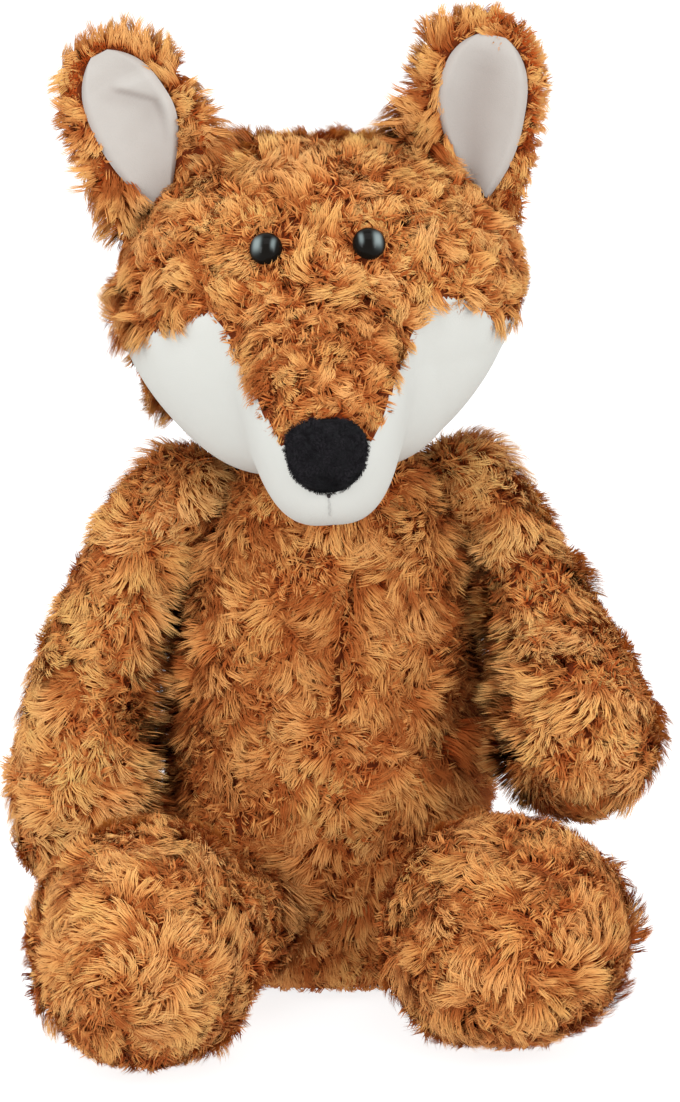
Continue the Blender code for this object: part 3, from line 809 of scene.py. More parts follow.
@dataclass(frozen=True)
class Chance:
    """How unlike the locks, the tufts and the hairs of every pile are.

    Attributes:
        lock_spacing: The least spacing of locks, as a share of the pile's.
        lock_share: How many of the places for a lock hold one.
        lock_radius: A lock's radius, as a share of the pile's spacing.
        lock_curl: The range of the locks' curl, as shares of the pile's.
        lock_length: The range of the locks' length, as shares.
        lock_lean: How unlike they lean, in radians.
        lock_shade: How unlike their shades are.
        tuft_radius: A tuft's radius, as a share of the pile's spacing.
        tuft_curl: How unlike tufts curl, in radians.
        tuft_length: The range of their length, as shares.
        tuft_lean: How unlike they lean, as a share of the pile's stray.
        tuft_shade: How unlike their shades are.
        hair_length: The range of the hairs' length, as shares.
        hair_width: The range of their width, as shares.
        hair_lean: How unlike they lean and turn, in radians.
        hair_wave: How unlike they sway, in radians.
        hair_roll: How unlike their strips are rolled, in radians.
        hair_shade: How unlike their shades are.
        on_floor: The range of heights at which a hair is held off the floor.
    """

    lock_spacing: float = 0.8
    lock_share: float = 0.7
    lock_radius: float = 0.6
    lock_curl: tuple[float, float] = (0.2, 1.4)
    lock_length: tuple[float, float] = (0.82, 1.15)
    lock_lean: float = 0.12
    lock_shade: float = 0.07
    tuft_radius: float = 0.72
    tuft_curl: float = 0.25
    tuft_length: tuple[float, float] = (0.90, 1.08)
    tuft_lean: float = 0.6
    tuft_shade: float = 0.05
    hair_length: tuple[float, float] = (0.80, 1.03)
    hair_width: tuple[float, float] = (0.8, 1.25)
    hair_lean: float = 0.05
    hair_wave: float = 0.25
    hair_roll: float = 0.2
    hair_shade: float = 0.025
    on_floor: tuple[float, float] = (0.1, 0.9)


@dataclass(frozen=True)
class Shades:
    """How a tuft's shade follows from its place in its lock, as painted light and shade, and drifts at
    random.

    Attributes:
        base: The shade at a lock's middle.
        ahead: How much lighter a lock's raised far end is, and darker its near end, as painted light and
            shade.
        rim: How much darker its rim is, as painted shade in the creases between locks.
        drift: How far the shade drifts over the surface.
        drift_reach: How far apart it drifts, in lock spacings.
        limits: The darkest and the lightest shade.
    """

    base: float = 0.73
    ahead: float = 0.28
    rim: float = 0.38
    drift: float = 0.06
    drift_reach: float = 2.5
    limits: tuple[float, float] = (0.02, 0.98)


@dataclass
class Locks:
    """How tufts lie in their locks.

    Attributes:
        count: How many locks there are.
        lock: The lock of each tuft.
        offset: Where each tuft stands in its lock, in lock radii.
        way: The direction along the surface that it leans to.
        side: The direction across it.
        force: How strongly it is combed that way.
        ahead: How far it stands towards its lock's far end, from -1 to 1.
        rim: How near it stands to its lock's rim, from 0 up.
    """

    count: int
    lock: Array
    offset: Array
    way: Array
    side: Array
    force: Array
    ahead: Array
    rim: Array


@dataclass
class Strands:
    """Hairs that are ready to be drawn.

    Attributes:
        start: Where each hair's tuft starts.
        normal: The surface's outward direction there.
        way: The direction along the surface that the hair leans to.
        side: The direction across it.
        spot: Where the hair stands in its tuft, across its way and along it.
        lean: Its lean from upright at its root and at its tip, in radians.
        turn: How far it is turned from its way, in radians.
        curl: How far it turns as it goes, in radians.
        wave: Where its sway starts, in radians.
        length: Its length.
    """

    start: Array
    normal: Array
    way: Array
    side: Array
    spot: tuple[Array, Array]
    lean: tuple[Array, Array]
    turn: Array
    curl: Array
    wave: Array
    length: Array

    def lines(self, pile: Pile) -> Array:
        """Draw the hairs, step by step.

        Args:
            pile: How the pile grows.

        Returns:
            The points of each hair's line.
        """
        place = self.start
        lines = np.empty((len(place), pile.steps + 1, 3))
        for k in range(pile.steps + 1):
            s = k / pile.steps
            close = 1 - pile.gather * s**1.3
            sway = pile.crimp * s * np.sin(self.wave + s * 5.0)
            across = self.side * (self.spot[0] * close + sway)[:, None]
            lines[:, k] = place + (across + self.way * (self.spot[1] * close)[:, None])
            middle = (k + 0.5) / pile.steps
            tilt = self.lean[0] + (self.lean[1] - self.lean[0]) * middle**0.9
            tilt = np.minimum(tilt, MOST_LEAN)
            bend = self.turn + self.curl * middle**1.4
            heading = self.way * np.cos(bend)[:, None] + self.side * np.sin(bend)[:, None]
            direction = self.normal * np.cos(tilt)[:, None] + heading * np.sin(tilt)[:, None]
            place = place + direction * (self.length / pile.steps)[:, None]
        return lines


@dataclass
class Plan:
    """How the tufts at some roots grow.

    Attributes:
        comb: The direction that each tuft is combed in.
        scale: Its length, as a share of the pile's.
        press: How flat it lies: 1 as the pile says, 0 upright.
        tone: Painted light and shade: how much lighter it is, or darker below 0.
    """

    comb: Array
    scale: Array
    press: Array | float = 1.0
    tone: Array | float = 0.0


def gather_locks(roots: Roots, comb: Array, pile: Pile, rng: np.random.Generator) -> Locks:
    """Share tufts out among locks, and turn and fan them as their lock lies.

    Args:
        roots: Where the tufts stand.
        comb: The direction that each tuft is combed in.
        pile: How the pile grows.
        rng: The source of random numbers.

    Returns:
        How the tufts lie.
    """
    count = len(roots)
    centres = thinned(roots.points[: max(1, count // 2)], pile.lock * CHANCE.lock_spacing)
    centres = centres[rng.random(len(centres)) < CHANCE.lock_share]
    lock = nearest(roots.points + wander(roots.points, pile.lock, rng), roots.points[centres])
    locks = len(centres)
    along, across = tangents(roots.normals, comb)
    swirl = rng.normal(0, pile.swirl, locks)[lock] + rng.normal(0, pile.stray, count)
    offset = (roots.points - roots.points[centres][lock]) / (pile.lock * CHANCE.lock_radius)
    way = along * np.cos(swirl)[:, None] + across * np.sin(swirl)[:, None]
    side = np.cross(roots.normals, way)
    ahead = np.clip((offset * way).sum(axis=1), -1, 1)
    beside = np.clip((offset * side).sum(axis=1), -1, 1)
    way = way * (1 - pile.crest * ahead)[:, None] + side * (pile.fan * beside)[:, None]
    force = np.clip(np.linalg.norm(way, axis=1), 0.2, 1.3)
    way = unit(way)
    side = np.cross(roots.normals, way)
    return Locks(locks, lock, offset, way, side, force, ahead, beside**2 + ahead**2)


def grow(roots: Roots, plan: Plan, piece: Array, pile: Pile, rng: np.random.Generator) -> Hairs:
    """Grow tufts of hairs.

    Args:
        roots: Where the tufts stand.
        plan: How each of them grows.
        piece: The number of the piece that each tuft belongs to.
        pile: How the pile grows.
        rng: The source of random numbers.

    Returns:
        The hairs.
    """
    count = len(roots)
    scale = plan.scale * tufted(roots.points)
    locks = gather_locks(roots, plan.comb, pile, rng)
    lock = locks.lock
    sign = np.where(rng.random(locks.count) < 0.5, -1.0, 1.0)[lock]
    curl = sign * pile.curl * rng.uniform(*CHANCE.lock_curl, locks.count)[lock]
    curl = curl + rng.normal(0, CHANCE.tuft_curl, count)
    tall = pile.length * scale * rng.uniform(*CHANCE.lock_length, locks.count)[lock]
    tall = tall * rng.uniform(*CHANCE.tuft_length, count)
    stand = rng.normal(0, CHANCE.lock_lean, locks.count)[lock]
    shade = SHADES.base + rng.normal(0, CHANCE.lock_shade, locks.count)[lock]
    # Painted light and shade: lighter towards a lock's raised far end, darker at its near end and in the
    # creases at its rim, plus what the plan paints by place.
    shade = shade + SHADES.ahead * locks.ahead - SHADES.rim * locks.rim
    shade = shade + rng.normal(0, CHANCE.tuft_shade, count) + plan.tone
    drift = wander(roots.points, pile.lock * SHADES.drift_reach, rng)[:, 0] / pile.lock
    shade = shade + drift * SHADES.drift
    lift = rng.normal(0, pile.lump, locks.count)[lock] - pile.lump * 1.3 * locks.rim
    bulge = unit(roots.normals + (locks.offset * 0.7).clip(-1, 1))

    n = count * pile.hairs
    own = np.repeat(np.arange(count), pile.hairs)
    reach = pile.tuft * CHANCE.tuft_radius
    radius = reach * np.sqrt(rng.random(n))
    angle = rng.uniform(0, 2 * math.pi, n)
    spot = (radius * np.cos(angle), radius * np.sin(angle))
    stand = stand + rng.normal(0, pile.stray * CHANCE.tuft_lean, count)
    over = (locks.force, 0.7 + 0.3 * locks.force)
    lean = tuple(
        ((pile.lean[k] + stand) * over[k] * plan.press)[own] + rng.normal(0, CHANCE.hair_lean, n)
        for k in (0, 1)
    )
    turn = rng.normal(0, CHANCE.hair_lean, n)
    length = tall[own] * rng.uniform(*CHANCE.hair_length, n)
    normal, way, side = roots.normals[own], locks.way[own], locks.side[own]
    start = roots.points[own] + normal * (lift * scale - pile.root_depth)[own][:, None]
    wave = rng.uniform(0, 2 * math.pi, count)[own] + rng.normal(0, CHANCE.hair_wave, n)
    strands = Strands(start, normal, way, side, spot, lean, turn, curl[own], wave, length)
    lines = strands.lines(pile)

    low = rng.uniform(*CHANCE.on_floor, n) * MM
    lines[..., 2] = np.maximum(lines[..., 2], low[:, None])
    run = unit(np.gradient(lines, axis=1))
    face = unit(np.cross(run, normal[:, None, :]))
    roll = rng.normal(0, CHANCE.hair_roll, n)[:, None, None]
    flat = face * np.cos(roll) + np.cross(run, face) * np.sin(roll)
    widths = pile.width * rng.uniform(*CHANCE.hair_width, n)
    # Painted shade between tufts: a tuft's outer hairs are darker.
    edge = pile.edge * ((radius / reach) ** 2 - 0.5)
    shade = np.clip(shade[own] + rng.normal(0, CHANCE.hair_shade, n) - edge, *SHADES.limits)
    spread = (side * spot[0][:, None] + way * spot[1][:, None]) / reach
    return Hairs(lines, flat, unit(bulge[own] + 0.3 * spread), widths, shade, piece[own])


def new_mesh(name: str, points: Array, faces: Array, fourth: Array | None = None) -> bpy.types.Mesh:
    """A mesh from arrays.

    Args:
        name: The mesh's name.
        points: Its points.
        faces: Its faces of equal size, as point indices.
        fourth: Faces of another size, or nothing.

    Returns:
        The mesh.
    """
    mesh = bpy.data.meshes.new(name)
    groups = [faces] if fourth is None else [faces, fourth]
    sizes = np.concatenate([np.full(len(g), g.shape[1]) for g in groups])
    loops = np.concatenate([g.reshape(-1) for g in groups]).astype(np.int32)
    mesh.vertices.add(len(points))
    mesh.vertices.foreach_set("co", points.astype(np.float32).reshape(-1))
    mesh.loops.add(len(loops))
    mesh.loops.foreach_set("vertex_index", loops)
    mesh.polygons.add(len(sizes))
    starts = np.concatenate([[0], np.cumsum(sizes)[:-1]]).astype(np.int32)
    mesh.polygons.foreach_set("loop_start", starts)
    mesh.update(calc_edges=True)
    mesh.validate()
    return mesh


def store(mesh: bpy.types.Mesh, name: str, values: Array) -> None:
    """Store a value for each point of a mesh, which its finish reads.

    Args:
        mesh: The mesh.
        name: The value's name.
        values: One for each point.
    """
    stored = mesh.attributes.new(name, "FLOAT", "POINT")
    stored.data.foreach_set("value", values.astype(np.float32).reshape(-1))


def link(name: str, mesh: bpy.types.Mesh, finish: Finish, smooth: bool = True) -> bpy.types.Object:
    """Put a mesh in the scene.

    Args:
        name: The object's name.
        mesh: The mesh.
        finish: Its finish.
        smooth: Whether it is shaded smooth.

    Returns:
        The object.
    """
    mesh.materials.append(finish.material())
    if smooth:
        mesh.shade_smooth()
    obj = bpy.data.objects.new(name, mesh)
    bpy.context.scene.collection.objects.link(obj)
    return obj


@dataclass(frozen=True)
class Strip:
    """How every hair's strip is shaped, shaded and charted.

    Attributes:
        root_width: Its width at its root, as a share.
        swell: How much wider it would be at its tip, if it didn't taper.
        taper: The power by which it tapers.
        softness: How far its shading follows its lock where the strip lies flat on it.
        least_softness: The part of this that is left where it stands upright.
        chart_width: Half its width on the chart for bakes.
        chart_edge: What the chart leaves free at a strip's root and tip.
    """

    root_width: float = 0.8
    swell: float = 0.4
    taper: int = 4
    softness: float = 0.85
    least_softness: float = 0.35
    chart_width: float = 0.003
    chart_edge: float = 0.01

    def normals(self, lines: Array, flat: Array, facing: Array) -> Array:
        """Work out the directions that strips are shaded by.

        Args:
            lines: The points of each hair's line.
            flat: The direction of its width at each point.
            facing: The outward direction of its lock.

        Returns:
            A direction for each point of each line.
        """
        soft = facing[:, None, :]
        strip = unit(np.cross(flat, np.gradient(lines, axis=1)))
        flatness = (strip * soft).sum(axis=-1, keepdims=True)
        strip = strip * np.sign(flatness + 1e-9)
        share = self.softness * (self.least_softness + (1 - self.least_softness) * flatness**2)
        return unit(soft * share + strip * (1 - share))


def hair_object(name: str, hairs: Hairs, chosen: Array, finish: Finish) -> bpy.types.Object:
    """Make one piece of pile: its hairs as strips that taper to a point.

    Args:
        name: The piece's name.
        hairs: All hairs.
        chosen: Which of them belong to the piece.
        finish: The pile's finish.

    Returns:
        The piece.
    """
    lines, flat = hairs.lines[chosen], hairs.across[chosen]
    n, rings = lines.shape[:2]
    last = rings - 1
    s = np.linspace(0, 1, rings)
    taper = (STRIP.root_width + STRIP.swell * s) * (1 - s**STRIP.taper)
    half = hairs.widths[chosen][:, None, None] * taper[None, :, None] / 2
    left, right = lines - flat * half, lines + flat * half
    pairs = np.stack([left[:, :last], right[:, :last]], axis=2).reshape(n, last * 2, 3)
    points = np.concatenate([pairs, lines[:, last:]], axis=1).reshape(-1, 3)
    each = last * 2 + 1
    base = (np.arange(n) * each)[:, None]
    quad = np.array([0, 1, 3, 2])
    quads = np.concatenate([base + 2 * k + quad for k in range(last - 1)])
    tips = base + np.array([last * 2 - 2, last * 2 - 1, last * 2])
    mesh = new_mesh(name, points, quads, tips)
    along = np.concatenate([np.repeat(s[:last], 2), s[last:]])
    along = np.tile(along, n).astype(np.float32)
    shade = np.repeat(hairs.shade[chosen], each).astype(np.float32)
    mesh.attributes.new("along", "FLOAT", "POINT").data.foreach_set("value", along)
    mesh.attributes.new("shade", "FLOAT", "POINT").data.foreach_set("value", shade)
    soft = STRIP.normals(lines, flat, hairs.facing[chosen])
    soft = np.concatenate([np.repeat(soft[:, :last], 2, axis=1), soft[:, last:]], axis=1)
    normals = mesh.attributes.new("custom_normal", "FLOAT_VECTOR", "POINT")
    normals.data.foreach_set("vector", soft.astype(np.float32).reshape(-1))
    sideways = np.tile(np.concatenate([np.tile([-1.0, 1.0], last), [0.0]]), n)
    loops = np.empty(len(mesh.loops), np.int32)
    mesh.loops.foreach_get("vertex_index", loops)
    edge = STRIP.chart_edge
    places = (shade + sideways * STRIP.chart_width, edge + (1 - 2 * edge) * along)
    chart = np.stack([place[loops] for place in places], axis=1)
    mesh.uv_layers.new(name="OFBake").data.foreach_set("uv", chart.astype(np.float32).reshape(-1))
    return link(name, mesh, finish)


# Forms


@dataclass(frozen=True)
class TorsoForm:
    """The body: rounded-square sections from the seat to the neck.

    Attributes:
        sections: Height, half width, front and back half depth, in millimetres.
        squareness: The sections' superellipse power.
        yaw: The turn of the body about the vertical.
    """

    sections: tuple[tuple[float, ...], ...] = (
        (0.0, 35.0, 34.0, 28.0),
        (8.0, 42.0, 41.0, 34.0),
        (30.0, 45.0, 43.0, 37.0),
        (62.0, 45.5, 41.0, 37.0),
        (95.0, 43.0, 36.0, 34.0),
        (119.0, 40.0, 32.0, 31.0),
        (136.0, 34.0, 28.0, 28.0),
        (147.0, 28.0, 23.5, 24.0),
        (150.0, 25.0, 21.0, 21.0),
    )
    squareness: float = 2.3
    yaw: float = math.radians(8)

    def surface(self, origin: Array, rows: int = 90, columns: int = 120) -> Surface:
        """The skin, closed over the seat and the neck.

        Args:
            origin: Where the body's own origin lies in the frame.
            rows: Rows of the grid.
            columns: Columns of the grid.

        Returns:
            The surface.
        """
        table = np.array(self.sections)
        share = np.linspace(0, 1, rows)
        flat = 0.06
        rise = np.clip((share - flat) / (1 - 2 * flat), 0, 1)
        ends = np.clip(np.minimum(share, 1 - share) / flat, 0, 1)
        z = table[-1, 0] * (0.5 - 0.5 * np.cos(math.pi * rise)) ** 0.9
        outline = smooth_curve(table, np.interp(z, table[:, 0], range(len(table))))
        turn = np.linspace(0, 2 * math.pi, columns, endpoint=False)
        c, s = np.cos(turn)[None], np.sin(turn)[None]
        power = 2 / self.squareness
        deep = np.where(s < 0, outline[:, 2:3], outline[:, 3:4])
        x = np.sign(c) * np.abs(c) ** power * outline[:, 1:2] * ends[:, None]
        y = np.sign(s) * np.abs(s) ** power * deep * ends[:, None]
        points = np.stack([x, y, np.broadcast_to(z[:, None], x.shape)], axis=-1) * MM
        points = turn_about(points, self.yaw, "Z") + origin
        u, v = np.broadcast_to(turn[None], x.shape), np.broadcast_to(share[:, None], x.shape)
        middle = origin + UP * table[-1, 0] * MM / 2
        return Surface(points, True, u, v).outward_from(middle)


@dataclass(frozen=True)
class HeadForm:
    """The head: a squarish skull with a snout, leaned on the neck. Lengths are in millimetres.

    Attributes:
        centre: The skull's centre.
        half: The skull's half sizes; the last is the cheeks' height.
        crown: The crown's height over the centre.
        crown_power: The superellipse power of the skull above its centre.
        cheek_power: The same below it.
        cheek_fullness: How much more that is at the front.
        roll: The head's tilt to a side, in radians.
        yaw: Its turn, in radians.
        pitch: How far below the level the snout points, in radians.
        reach: How far the snout stands out.
        spread: The snout's half width, its height and its depth, in radians.
        sharpness: How steeply the snout ends round its edge.
        squareness: The superellipse power of the snout's section.
        jowl: How far the left and the right jowl stand out.
        jowl_at: Where a jowl is, across and up, in radians.
        jowl_spread: Its width and height, in radians.
        slim: How much the right cheek draws in.
        pivot: The point that the head leans about.
        neck_reach: How far round the neck the underside is level.
        neck_slope: How steeply it may fall beyond that.
        back_seam: How far behind the frame's middle the back panels start.
        wrap: Heights, and how far the left back panel comes forward beside the cheek there.
        hem: From how far across the right cheek's upper seam drops, over how far, and how much.
        cheek_top_left: Two points, across and up, of the left cheek's upper seam.
        cheek_top_right: The same of the right cheek's.
        bridge: Two points of the seam between a cheek and the bridge.
        bridge_end: The height that the bridge reaches down to.
    """

    centre: tuple[float, float, float] = (0.8, -5.0, 195.0)
    half: tuple[float, float, float] = (57.8, 46.0, 49.0)
    crown: float = 46.0
    crown_power: float = 2.25
    cheek_power: float = 1.65
    cheek_fullness: float = 1.2
    roll: float = math.radians(-2.8)
    yaw: float = math.radians(0.2)
    pitch: float = math.radians(27.5)
    reach: float = 40.0
    spread: tuple[float, float, float] = (math.radians(22), math.radians(30), math.radians(24))
    sharpness: float = 2.6
    squareness: float = 2.8
    jowl: tuple[float, float] = (4.6, 4.1)
    jowl_at: tuple[float, float] = (math.radians(40), math.radians(-20))
    jowl_spread: tuple[float, float] = (math.radians(27), math.radians(19))
    slim: float = 3.2
    pivot: tuple[float, float, float] = (0.0, 0.0, 150.0)
    neck_reach: float = 27.0
    neck_slope: float = 0.5
    back_seam: float = 2.0
    wrap: tuple[tuple[float, float], ...] = (
        (-37.0, 0.0),
        (-33.0, 19.5),
        (-25.0, 16.5),
        (-18.0, 14.0),
        (-12.0, 12.0),
        (-6.0, 4.0),
        (-2.0, 0.0),
    )
    hem: tuple[float, float, float] = (42.0, 6.0, 4.5)
    cheek_top_left: tuple[tuple[float, float], ...] = ((51.0, -4.5), (30.0, 4.5))
    cheek_top_right: tuple[tuple[float, float], ...] = ((51.0, -0.5), (30.0, 6.0))
    bridge: tuple[tuple[float, float], ...] = ((27.0, 0.0), (12.0, -27.0))
    bridge_end: float = -27.0

    def radius(self, direction: Array) -> Array:
        """Find the surface's distance from the centre.

        Args:
            direction: Unit directions from the centre.

        Returns:
            The distance along each, in millimetres.
        """
        x, y, z = np.moveaxis(direction, -1, 0)
        ahead = np.maximum(-y, 1e-6)
        up = z > 0
        half_z = np.where(up, self.crown, self.half[2])
        power = np.where(up, self.crown_power, self.cheek_power + self.cheek_fullness * ahead)
        flat = ((np.abs(x) / self.half[0]) ** power + (np.abs(z) / half_z) ** power) ** (1 / power)
        skull = 1 / np.sqrt(flat**2 + (y / self.half[1]) ** 2)
        side = np.arctan2(x, ahead)
        rise = np.arcsin(np.clip(z, -1, 1)) + self.pitch
        tall = np.where(rise > 0, self.spread[1], self.spread[2])
        m = self.squareness
        away = (np.abs(side / self.spread[0]) ** m + np.abs(rise / tall) ** m) ** (1 / m)
        snout = self.reach * np.exp(-(away**self.sharpness))
        off_side = (np.abs(side) - self.jowl_at[0]) / self.jowl_spread[0]
        off_rise = (rise - self.jowl_at[1]) / self.jowl_spread[1]
        jowl = np.where(x < 0, *self.jowl) * np.exp(-(off_side**2) - off_rise**2)
        slim = self.slim * np.clip(x * 1.6, 0, 1) ** 2 * np.clip(-z * 2.5 + 0.3, 0, 1)
        return skull - slim + np.where(y > 0, 0, snout + jowl)

    def leaned(self, upright: Array, origin: Array) -> Array:
        """Lean the upright head as it rests on the neck.

        Args:
            upright: Points of the upright head, in millimetres.
            origin: Where the body's own origin lies in the frame.

        Returns:
            The points in the frame, in metres.
        """
        pivot = np.array(self.pivot)
        turned = turn_about(turn_about(upright - pivot, self.roll, "Y"), self.yaw, "Z") + pivot
        return turned * MM + origin

    def seated(self, points: Array, origin: Array) -> Array:
        """Hold the leaned head off the neck.

        Args:
            points: Points of the leaned head, in the frame.
            origin: Where the body's own origin lies in the frame.

        Returns:
            The points, lifted where they lay too low.
        """
        local = (points - origin) / MM
        away = np.hypot(local[..., 0], local[..., 1]) - self.neck_reach
        low = self.pivot[2] + 0.45 - np.maximum(0, away) * self.neck_slope
        lifted = points.copy()
        lifted[..., 2] = np.maximum(points[..., 2], low * MM + origin[2])
        return lifted

    def front(self, x: Array, z: Array) -> Array:
        """Find points of the upright head's front.

        Args:
            x: Places across from the centre, in millimetres.
            z: Places up from the centre, in millimetres.

        Returns:
            The points, in millimetres.
        """
        x, z = np.broadcast_arrays(np.asarray(x, float), np.asarray(z, float))
        low, high = np.zeros(x.shape), np.full(x.shape, 120.0)
        for _ in range(40):
            y = (low + high) / 2
            offset = np.stack([x, -y, z], axis=-1)
            inside = np.linalg.norm(offset, axis=-1) < self.radius(unit(offset))
            low, high = np.where(inside, y, low), np.where(inside, high, y)
        return np.array(self.centre) + np.stack([x, -low, z], axis=-1)

    def facing(self, x: Array, z: Array) -> Array:
        """Find the outward directions of the upright head's front.

        Args:
            x: Places across from the centre, in millimetres.
            z: Places up from the centre, in millimetres.

        Returns:
            The unit directions.
        """
        across = self.front(x + 1.5, z) - self.front(x - 1.5, z)
        up = self.front(x, z + 1.5) - self.front(x, z - 1.5)
        return unit(np.cross(across, up))

    def beyond(self, upright: Array, seam: tuple[tuple[float, float], ...]) -> Array:
        """Measure how far points lie above or outside a seam of the front view.

        Args:
            upright: Points of the upright head, in millimetres.
            seam: Two points of the seam, across and up from the centre.

        Returns:
            The distances, in millimetres.
        """
        (x0, z0), (x1, z1) = seam
        offset = upright - np.array(self.centre)
        x, z = np.abs(offset[..., 0]) - x0, offset[..., 2] - z0
        length = math.hypot(x1 - x0, z1 - z0)
        return (x * (z1 - z0) - z * (x1 - x0)) / length

    def cheek_depth(self, upright: Array) -> Array:
        """Measure how far points lie inside the white cheeks.

        Args:
            upright: Points of the upright head, in millimetres.

        Returns:
            The distances, in millimetres; below 0 outside the cheeks.
        """
        left = upright[..., 0] < self.centre[0]
        tops = (self.beyond(upright, seam) for seam in (self.cheek_top_left, self.cheek_top_right))
        start, fade, drop = self.hem
        hem = np.clip((upright[..., 0] - self.centre[0] - start) / fade, 0, 1) * drop
        under = -np.where(left, *tops) - hem
        beside = -self.beyond(upright, self.bridge)
        height = upright[..., 2] - self.centre[2]
        below = self.bridge_end - height
        wrap = np.interp(height, *zip(*self.wrap)) * left
        ahead = self.back_seam - wrap - upright[..., 1]
        return np.minimum(np.minimum(under, np.maximum(beside, below)), ahead)

    def grid(self, rows: int, columns: int) -> tuple[Array, Array, Array]:
        """Lay a grid over the upright head, with its first pole at the snout's tip.

        Args:
            rows: Rows of the grid.
            columns: Columns of the grid.

        Returns:
            The points in millimetres, and the column and row value of each.
        """
        share = np.linspace(0, 1, rows)
        angle = (math.pi * share**1.12)[:, None]
        turn = np.linspace(0, 2 * math.pi, columns, endpoint=False)[None]
        wide = np.sin(angle)
        ball = np.stack([wide * np.cos(turn), wide * np.sin(turn), -np.cos(angle) + 0 * turn], axis=-1)
        direction = turn_about(ball, -math.pi / 2 + self.pitch, "X")
        upright = np.array(self.centre) + direction * self.radius(direction)[..., None]
        u = np.broadcast_to(turn, upright.shape[:2])
        return upright, u, np.broadcast_to(share[:, None], upright.shape[:2])


@dataclass(frozen=True)
class LimbForm:
    """A limb: a ball at its root, swelling sections along a curve and a round end.

    Attributes:
        path: Points of the middle line with the half width and height there, in millimetres.
        across: The direction that the sections' first half axis is square to.
    """

    path: tuple[tuple[float, ...], ...]
    across: tuple[float, float, float]

    def surface(self, origin: Array, rows: int = 90, columns: int = 72) -> Surface:
        """The skin, closed at both ends.

        Args:
            origin: Where the body's own origin lies in the frame.
            rows: Rows of the grid.
            columns: Columns of the grid.

        Returns:
            The surface.
        """
        table = np.array(self.path) * MM
        lengths = np.linalg.norm(np.diff(table[:, :3], axis=0), axis=1)
        root, end = table[0, 3], table[-1, 3:].mean()
        spots = np.concatenate([[0], np.cumsum(lengths)])
        share = np.linspace(0, 1, rows)
        s = share * (root + spots[-1] + end) - root
        at = np.interp(s, spots, range(len(table)))
        before, past = np.minimum(s, 0) / root, np.maximum(s - spots[-1], 0) / end
        shrink = np.sqrt(np.maximum(1 - before**2 - past**2, 0))
        back = np.minimum(s, 0) + np.maximum(s - spots[-1], 0)
        here = smooth_curve(table, at)
        ahead = unit(smooth_curve(table, at + 0.05)[:, :3] - smooth_curve(table, at - 0.05)[:, :3])
        side = unit(np.cross(ahead, np.array(self.across)))
        up = unit(np.cross(side, ahead))
        turn = np.linspace(0, 2 * math.pi, columns, endpoint=False)
        middle = (here[:, :3] + ahead * back[:, None])[:, None]
        wide = side[:, None] * (here[:, 3] * shrink)[:, None, None] * np.cos(turn)[None, :, None]
        tall = up[:, None] * (here[:, 4] * shrink)[:, None, None] * np.sin(turn)[None, :, None]
        points = middle + wide + tall + origin
        points[..., 2] = np.maximum(points[..., 2], 0)
        shape = points.shape[:2]
        u, v = np.broadcast_to(turn[None], shape), np.broadcast_to(share[:, None], shape)
        return Surface(points, True, u, v).outward_from(points.reshape(-1, 3).mean(axis=0))

    def heading(self, v: Array) -> Array:
        """Find the middle line's direction.

        Args:
            v: Row values of the surface.

        Returns:
            The unit direction at each.
        """
        table = np.array(self.path)
        at = v * (len(table) - 1)
        return unit(smooth_curve(table, at + 0.3)[..., :3] - smooth_curve(table, at - 0.3)[..., :3])

    def past(self, points: Array, at: float, origin: Array) -> Array:
        """Find which points lie past a place of the middle line.

        Args:
            points: Points in the frame.
            at: The place, counted in points of the path.
            origin: Where the body's own origin lies in the frame.

        Returns:
            True for each point that does.
        """
        table = np.array(self.path) * MM
        ahead = unit(table[-1, :3] - table[-3, :3])
        return ((points - origin - smooth_curve(table, np.array(at))[:3]) * ahead).sum(axis=-1) > 0


